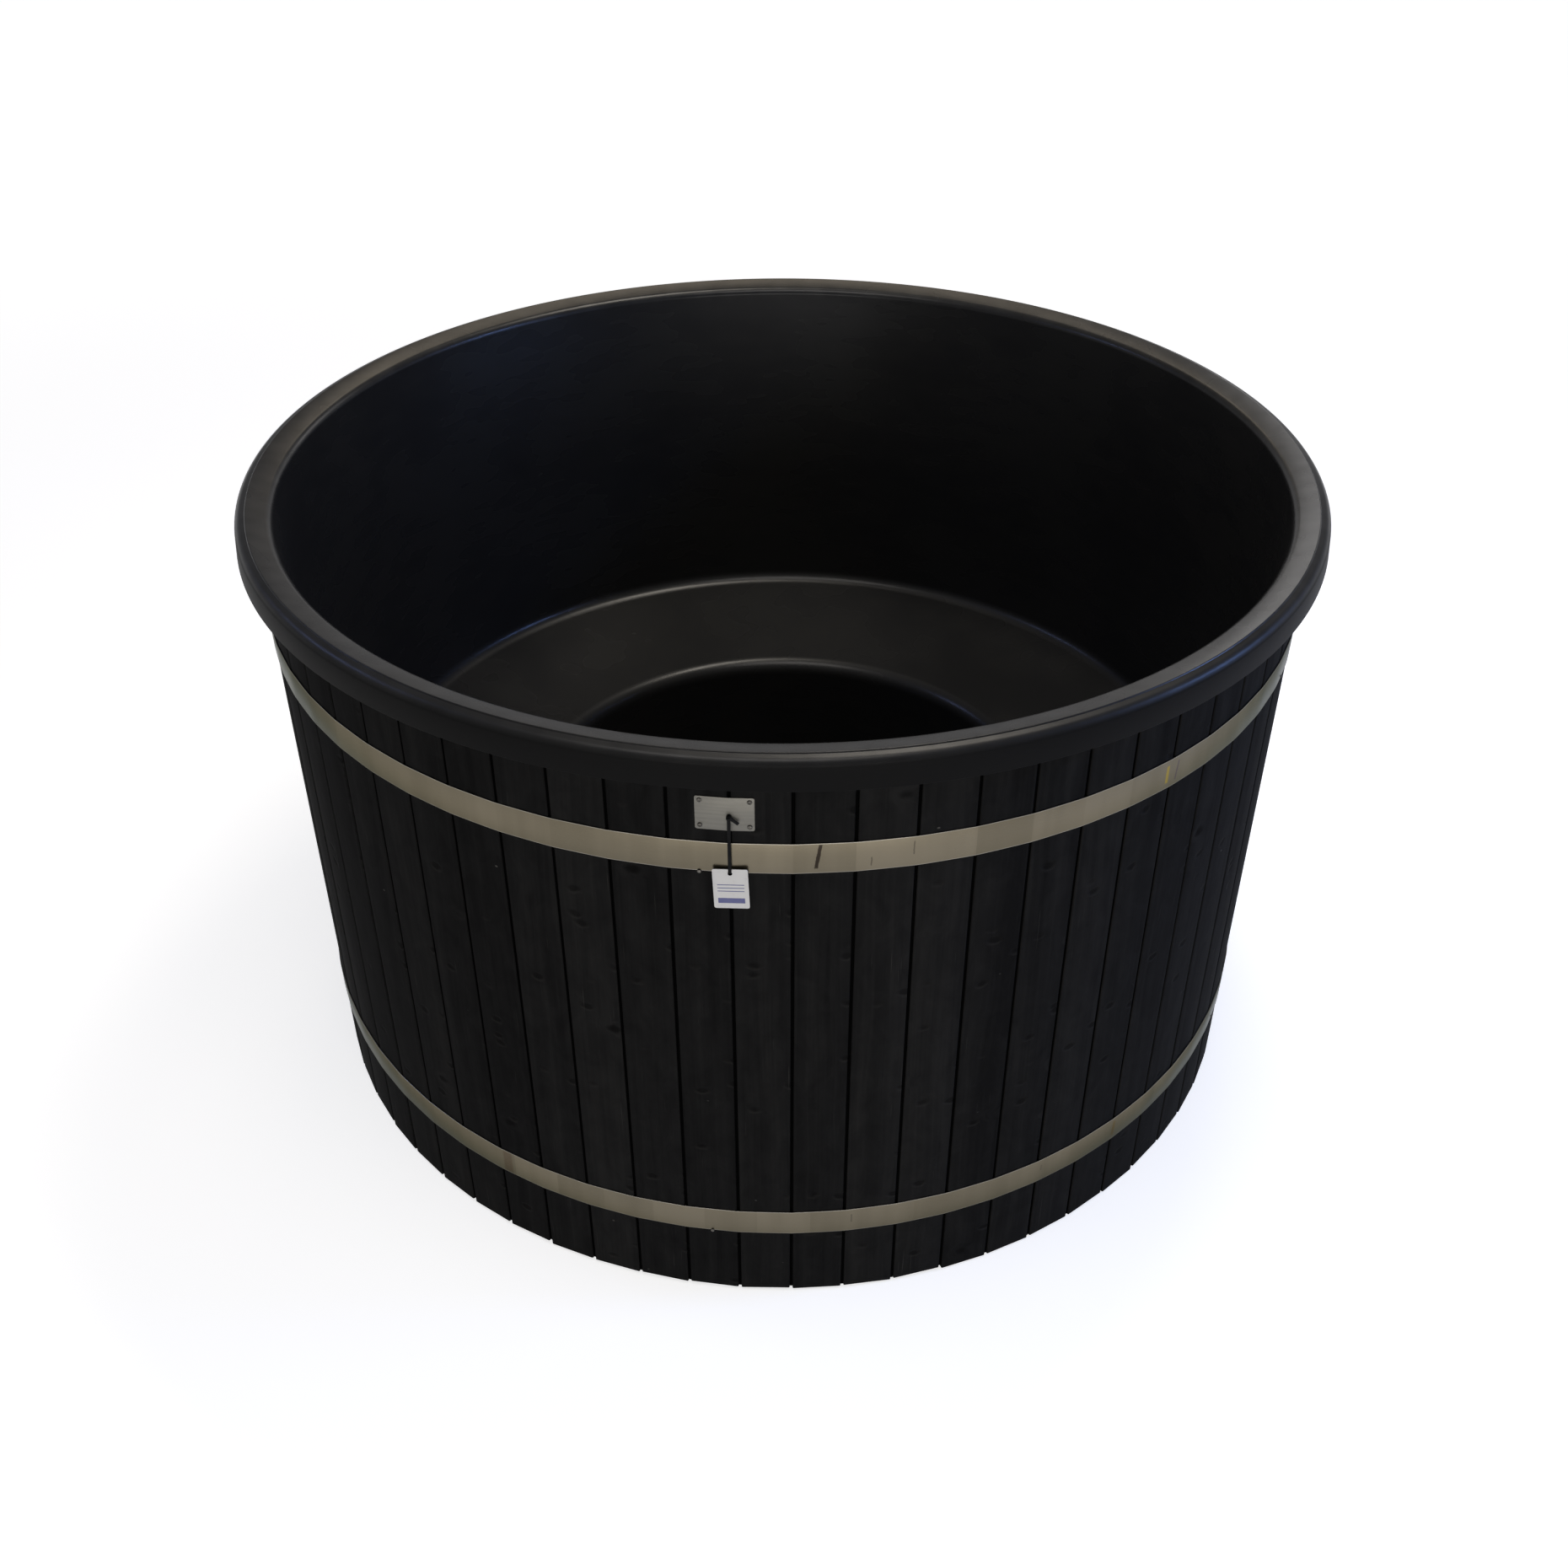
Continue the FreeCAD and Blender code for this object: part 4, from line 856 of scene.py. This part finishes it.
def plateScrews():
    bm = bmesh.new()
    tilt = Matrix.Rotation(math.pi / 2, 4, "X")
    inset = plate["screwInset"]
    columns = (plateLow.x + inset, plateHigh.x - inset)
    rows = (plateLow.z + inset, plateHigh.z - inset)
    for (x, z), turn in zip([(x, z) for x in columns for z in rows], screws["turns"]):
        front = faceR / math.cos(pitch / 2) - abs(x) * math.tan(pitch / 2) + plate["thick"]
        lean = Matrix.Rotation(math.copysign(pitch / 2, x), 4, "Z")
        crossHead(bm, Matrix.Translation((x, -front, z)) @ lean @ tilt, turn)
    return finished("plateScrews", bm, "plate_screws", sharpAngle=50)


plateScrews()
smallParts = {"tag_nail": 0.25 * mm, "hoop_nails": 0.25 * mm, "hoop_rivets": 0.25 * mm, "tag_tie": 0.3 * mm}
for node, width in smallParts.items():
    eased(node, width)

tag = {
    "corner": 3 * mm,
    "edge": 0.12 * mm,
    "edgeAngle": 60,
    "hole": 3.2 * mm,
    "holeSides": 24,
    "holeInset": 7.7 * mm,
    "columns": 9,
    "lean": 2.0,                  # degrees to one side
}


def hangTag():
    low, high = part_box("hang_tag")
    centre = Vector((0, low.y, high.z - tag["holeInset"]))
    bm = bmesh.new()
    card = [bm.verts.new((x, low.y, z)) for x, z in
            ((low.x, low.z), (high.x, low.z), (high.x, high.z), (low.x, high.z))]
    for pair in zip(card, card[1:] + card[:1]):
        bm.edges.new(pair)
    roundCorners(bm, card, tag["corner"], 6)
    spot = Matrix.Translation(centre) @ Matrix.Rotation(math.pi / 2, 4, "X")
    bmesh.ops.create_circle(bm, cap_ends=False, segments=tag["holeSides"], radius=tag["hole"], matrix=spot)
    bmesh.ops.triangle_fill(bm, use_beauty=True, use_dissolve=False, edges=bm.edges[:])
    for step in range(1, tag["columns"]):
        x = low.x + (high.x - low.x) * step / tag["columns"]
        bmesh.ops.bisect_plane(bm, geom=wholeGeometry(bm), plane_co=(x, 0, 0), plane_no=(1, 0, 0))
    bmesh.ops.recalc_face_normals(bm, faces=bm.faces)
    if bm.faces[:][0].normal.y > 0:
        bmesh.ops.reverse_faces(bm, faces=bm.faces)
    bmesh.ops.solidify(bm, geom=bm.faces[:], thickness=high.y - low.y)
    bmesh.ops.recalc_face_normals(bm, faces=bm.faces)
    roundEdges(bm, sharpEdges(bm, tag["edgeAngle"]), tag["edge"], 1)
    layer = bm.loops.layers.uv.new("card")
    for face in bm.faces:
        for loop in face.loops:
            loop[layer].uv = (loop.vert.co.x, loop.vert.co.z - low.z)
    lean = Matrix.Rotation(math.radians(-tag["lean"]), 3, "Y")
    bmesh.ops.rotate(bm, verts=bm.verts, cent=centre, matrix=lean)
    return finished("hangTag", bm, "hang_tag")


hangTag()
print("plate, tie and tag")


# Hard parts at the back, under the floor and inside, with their edges eased

easedParts = {
    "upper_hoop_lugs": 0.5 * mm, "lower_hoop_lugs": 0.5 * mm, "hoop_bolts": 0.5 * mm, "hoop_nuts": 0.5 * mm,
    "upper_port_pipe": 0.6 * mm, "lower_port_pipe": 0.6 * mm, "drain_pipe": 0.6 * mm,
    "upper_port_collar": 1.2 * mm, "lower_port_collar": 1.2 * mm, "drain_collar": 1.2 * mm,
    "upper_port_grille": 0.5 * mm, "lower_port_grille": 0.5 * mm, "drain_strainer": 0.4 * mm,
    "valve_body": 0.8 * mm, "valve_gland_nut": 0.5 * mm, "valve_lever": 0.6 * mm,
    "valve_lever_grip": 0.6 * mm, "valve_lever_nut": 0.5 * mm, "drain_hose_tail": 0.6 * mm,
    "base_bearer_1": 2 * mm, "base_bearer_2": 2 * mm, "base_bearer_3": 2 * mm,
}
for node, width in easedParts.items():
    eased(node, width)
print("eased parts:", len(easedParts))

for node, part in frame["nodes"].items():     # nodes that nothing replaces keep their own mesh
    if not part.hide_render:
        for slot in part.material_slots:
            slot.material = finishes[slotOf[node]]


# Studio: a pale floor that stays white to the camera, a dim even sky, soft panels, and the camera

studio = {
    "floor": (0.80, 0.80, 0.80),
    "floorMottle": (0.788, 0.788, 0.788),
    "mottleScale": 0.6,
    "floorRoughness": 0.9,
    "floorReach": 60.0,
    "glowNear": (0.66, 0.66, 0.66),
    "glowFar": (0.88, 0.88, 0.88),
    "glowFrom": (2.5, 7.0),
    "horizon": (0.35, 0.35, 0.36),
    "zenith": (0.14, 0.14, 0.145),
    "skyFade": 0.50,
    "aim": 0.8,                   # the panels face this share of the tub's height
}
panels = {
    "topPanel": {"at": (0.65, 0.9, 4.4), "size": (1.3, 0.8), "power": 46.0, "tint": (1.0, 0.93, 0.82)},
    "fillPanel": {"at": (-0.1, -1.1, 4.2), "size": (2.0, 1.0), "power": 27.0, "tint": (1.0, 0.96, 0.92)},
    "frontPanel": {"at": (0.4, -4.4, 1.2), "size": (3.8, 1.5), "power": 62.0, "tint": (1.0, 0.97, 0.93)},
    "ceilingPanel": {"at": (-0.5, 4.3, 4.4), "size": (1.5, 0.9), "power": 13.0, "tint": (1.0, 0.86, 0.66)},
    "backPanel": {"at": (1.25, 3.0, 2.35), "size": (0.9, 1.0), "power": 6.0, "tint": (1.0, 0.98, 0.97)},
    "backWall": {"at": (0.3, 4.6, 2.0), "size": (5.0, 1.8), "power": 6.0, "tint": (1.0, 0.97, 0.95)},
    "rightWindow": {"at": (4.0, -0.1, 2.7), "size": (0.9, 0.55), "power": 40.0, "tint": (0.26, 0.43, 1.0)},
    "lowWindow": {"at": (3.7, -0.6, 1.5), "size": (1.6, 0.5), "power": 13.0, "tint": (0.22, 0.42, 1.0)},
    "leftWindow": {"at": (-3.2, 0.3, 3.2), "size": (0.9, 0.4), "power": 8.0, "tint": (0.38, 0.50, 1.0)},
}


def studioFloor():
    finish = Finish("studioFloor", specular=0.0, roughness=studio["floorRoughness"], glowStrength=1.0)
    place = finish.place()
    mottle = finish.noise(place, studio["mottleScale"], 2.0)
    finish.feed(colour=finish.mix(mottle, studio["floor"], studio["floorMottle"]))
    away = finish.node("VectorMath", {"operation": "LENGTH"}, {0: place}, output="Value")
    glow = finish.mix(finish.fit(away, *studio["glowFrom"]), studio["glowNear"], studio["glowFar"])
    rays = [finish.node("LightPath", {}, {}, output=ray)
            for ray in ("Is Camera Ray", "Is Glossy Ray", "Is Transmission Ray")]
    finish.feed(glow=finish.mix(rays[0] + rays[1] + rays[2], (0, 0, 0), glow))
    bm = bmesh.new()
    bmesh.ops.create_circle(bm, cap_ends=True, segments=64, radius=studio["floorReach"])
    mesh = bpy.data.meshes.new("studioFloor")
    bm.to_mesh(mesh)
    bm.free()
    mesh.materials.append(finish.material)
    floor = bpy.data.objects.new("studioFloor", mesh)
    bpy.context.scene.collection.objects.link(floor)


def studioSky():
    sky = Finish("studioSky", bpy.data.worlds, "Background")
    direction = sky.node("TexCoord", {}, {}, output="Generated")
    height = sky.split(direction, "Z")[0]
    sky.feed(light=sky.mix(sky.fit(height, 0.0, studio["skyFade"]), studio["horizon"], studio["zenith"]))
    bpy.context.scene.world = sky.material


def softPanel(name, panel):
    data = bpy.data.lights.new(name, "AREA")
    data.shape = "RECTANGLE"
    data.size, data.size_y = panel["size"]
    data.energy = panel["power"]
    data.color = panel["tint"]
    lamp = bpy.data.objects.new(name, data)
    lamp.location = panel["at"]
    aim = Vector((0, 0, linerHigh.z * studio["aim"])) - lamp.location
    lamp.rotation_euler = aim.to_track_quat("-Z", "Y").to_euler()
    lamp.visible_camera = False
    bpy.context.scene.collection.objects.link(lamp)


view = {
    "azimuth": 4.626,
    "distance": 2.6362,
    "height": 2.3104,
    "tilt": 35.855,
    "lens": 38.30,
    "sensor": 36.0,
    "shift": 0.0008,
}


def photoCamera():
    turn = math.radians(view["azimuth"])
    data = bpy.data.cameras.new("photoCamera")
    data.sensor_width = view["sensor"]
    data.lens = view["lens"]
    data.shift_x = view["shift"]
    camera = bpy.data.objects.new("photoCamera", data)
    camera.location = (view["distance"] * math.sin(turn), -view["distance"] * math.cos(turn), view["height"])
    camera.rotation_euler = (math.radians(90 - view["tilt"]), 0, turn)
    bpy.context.scene.collection.objects.link(camera)
    bpy.context.scene.camera = camera


studioFloor()
studioSky()
for name, panel in panels.items():
    softPanel(name, panel)
photoCamera()
bpy.context.scene.view_settings.view_transform = "Standard"
print("studio ready")
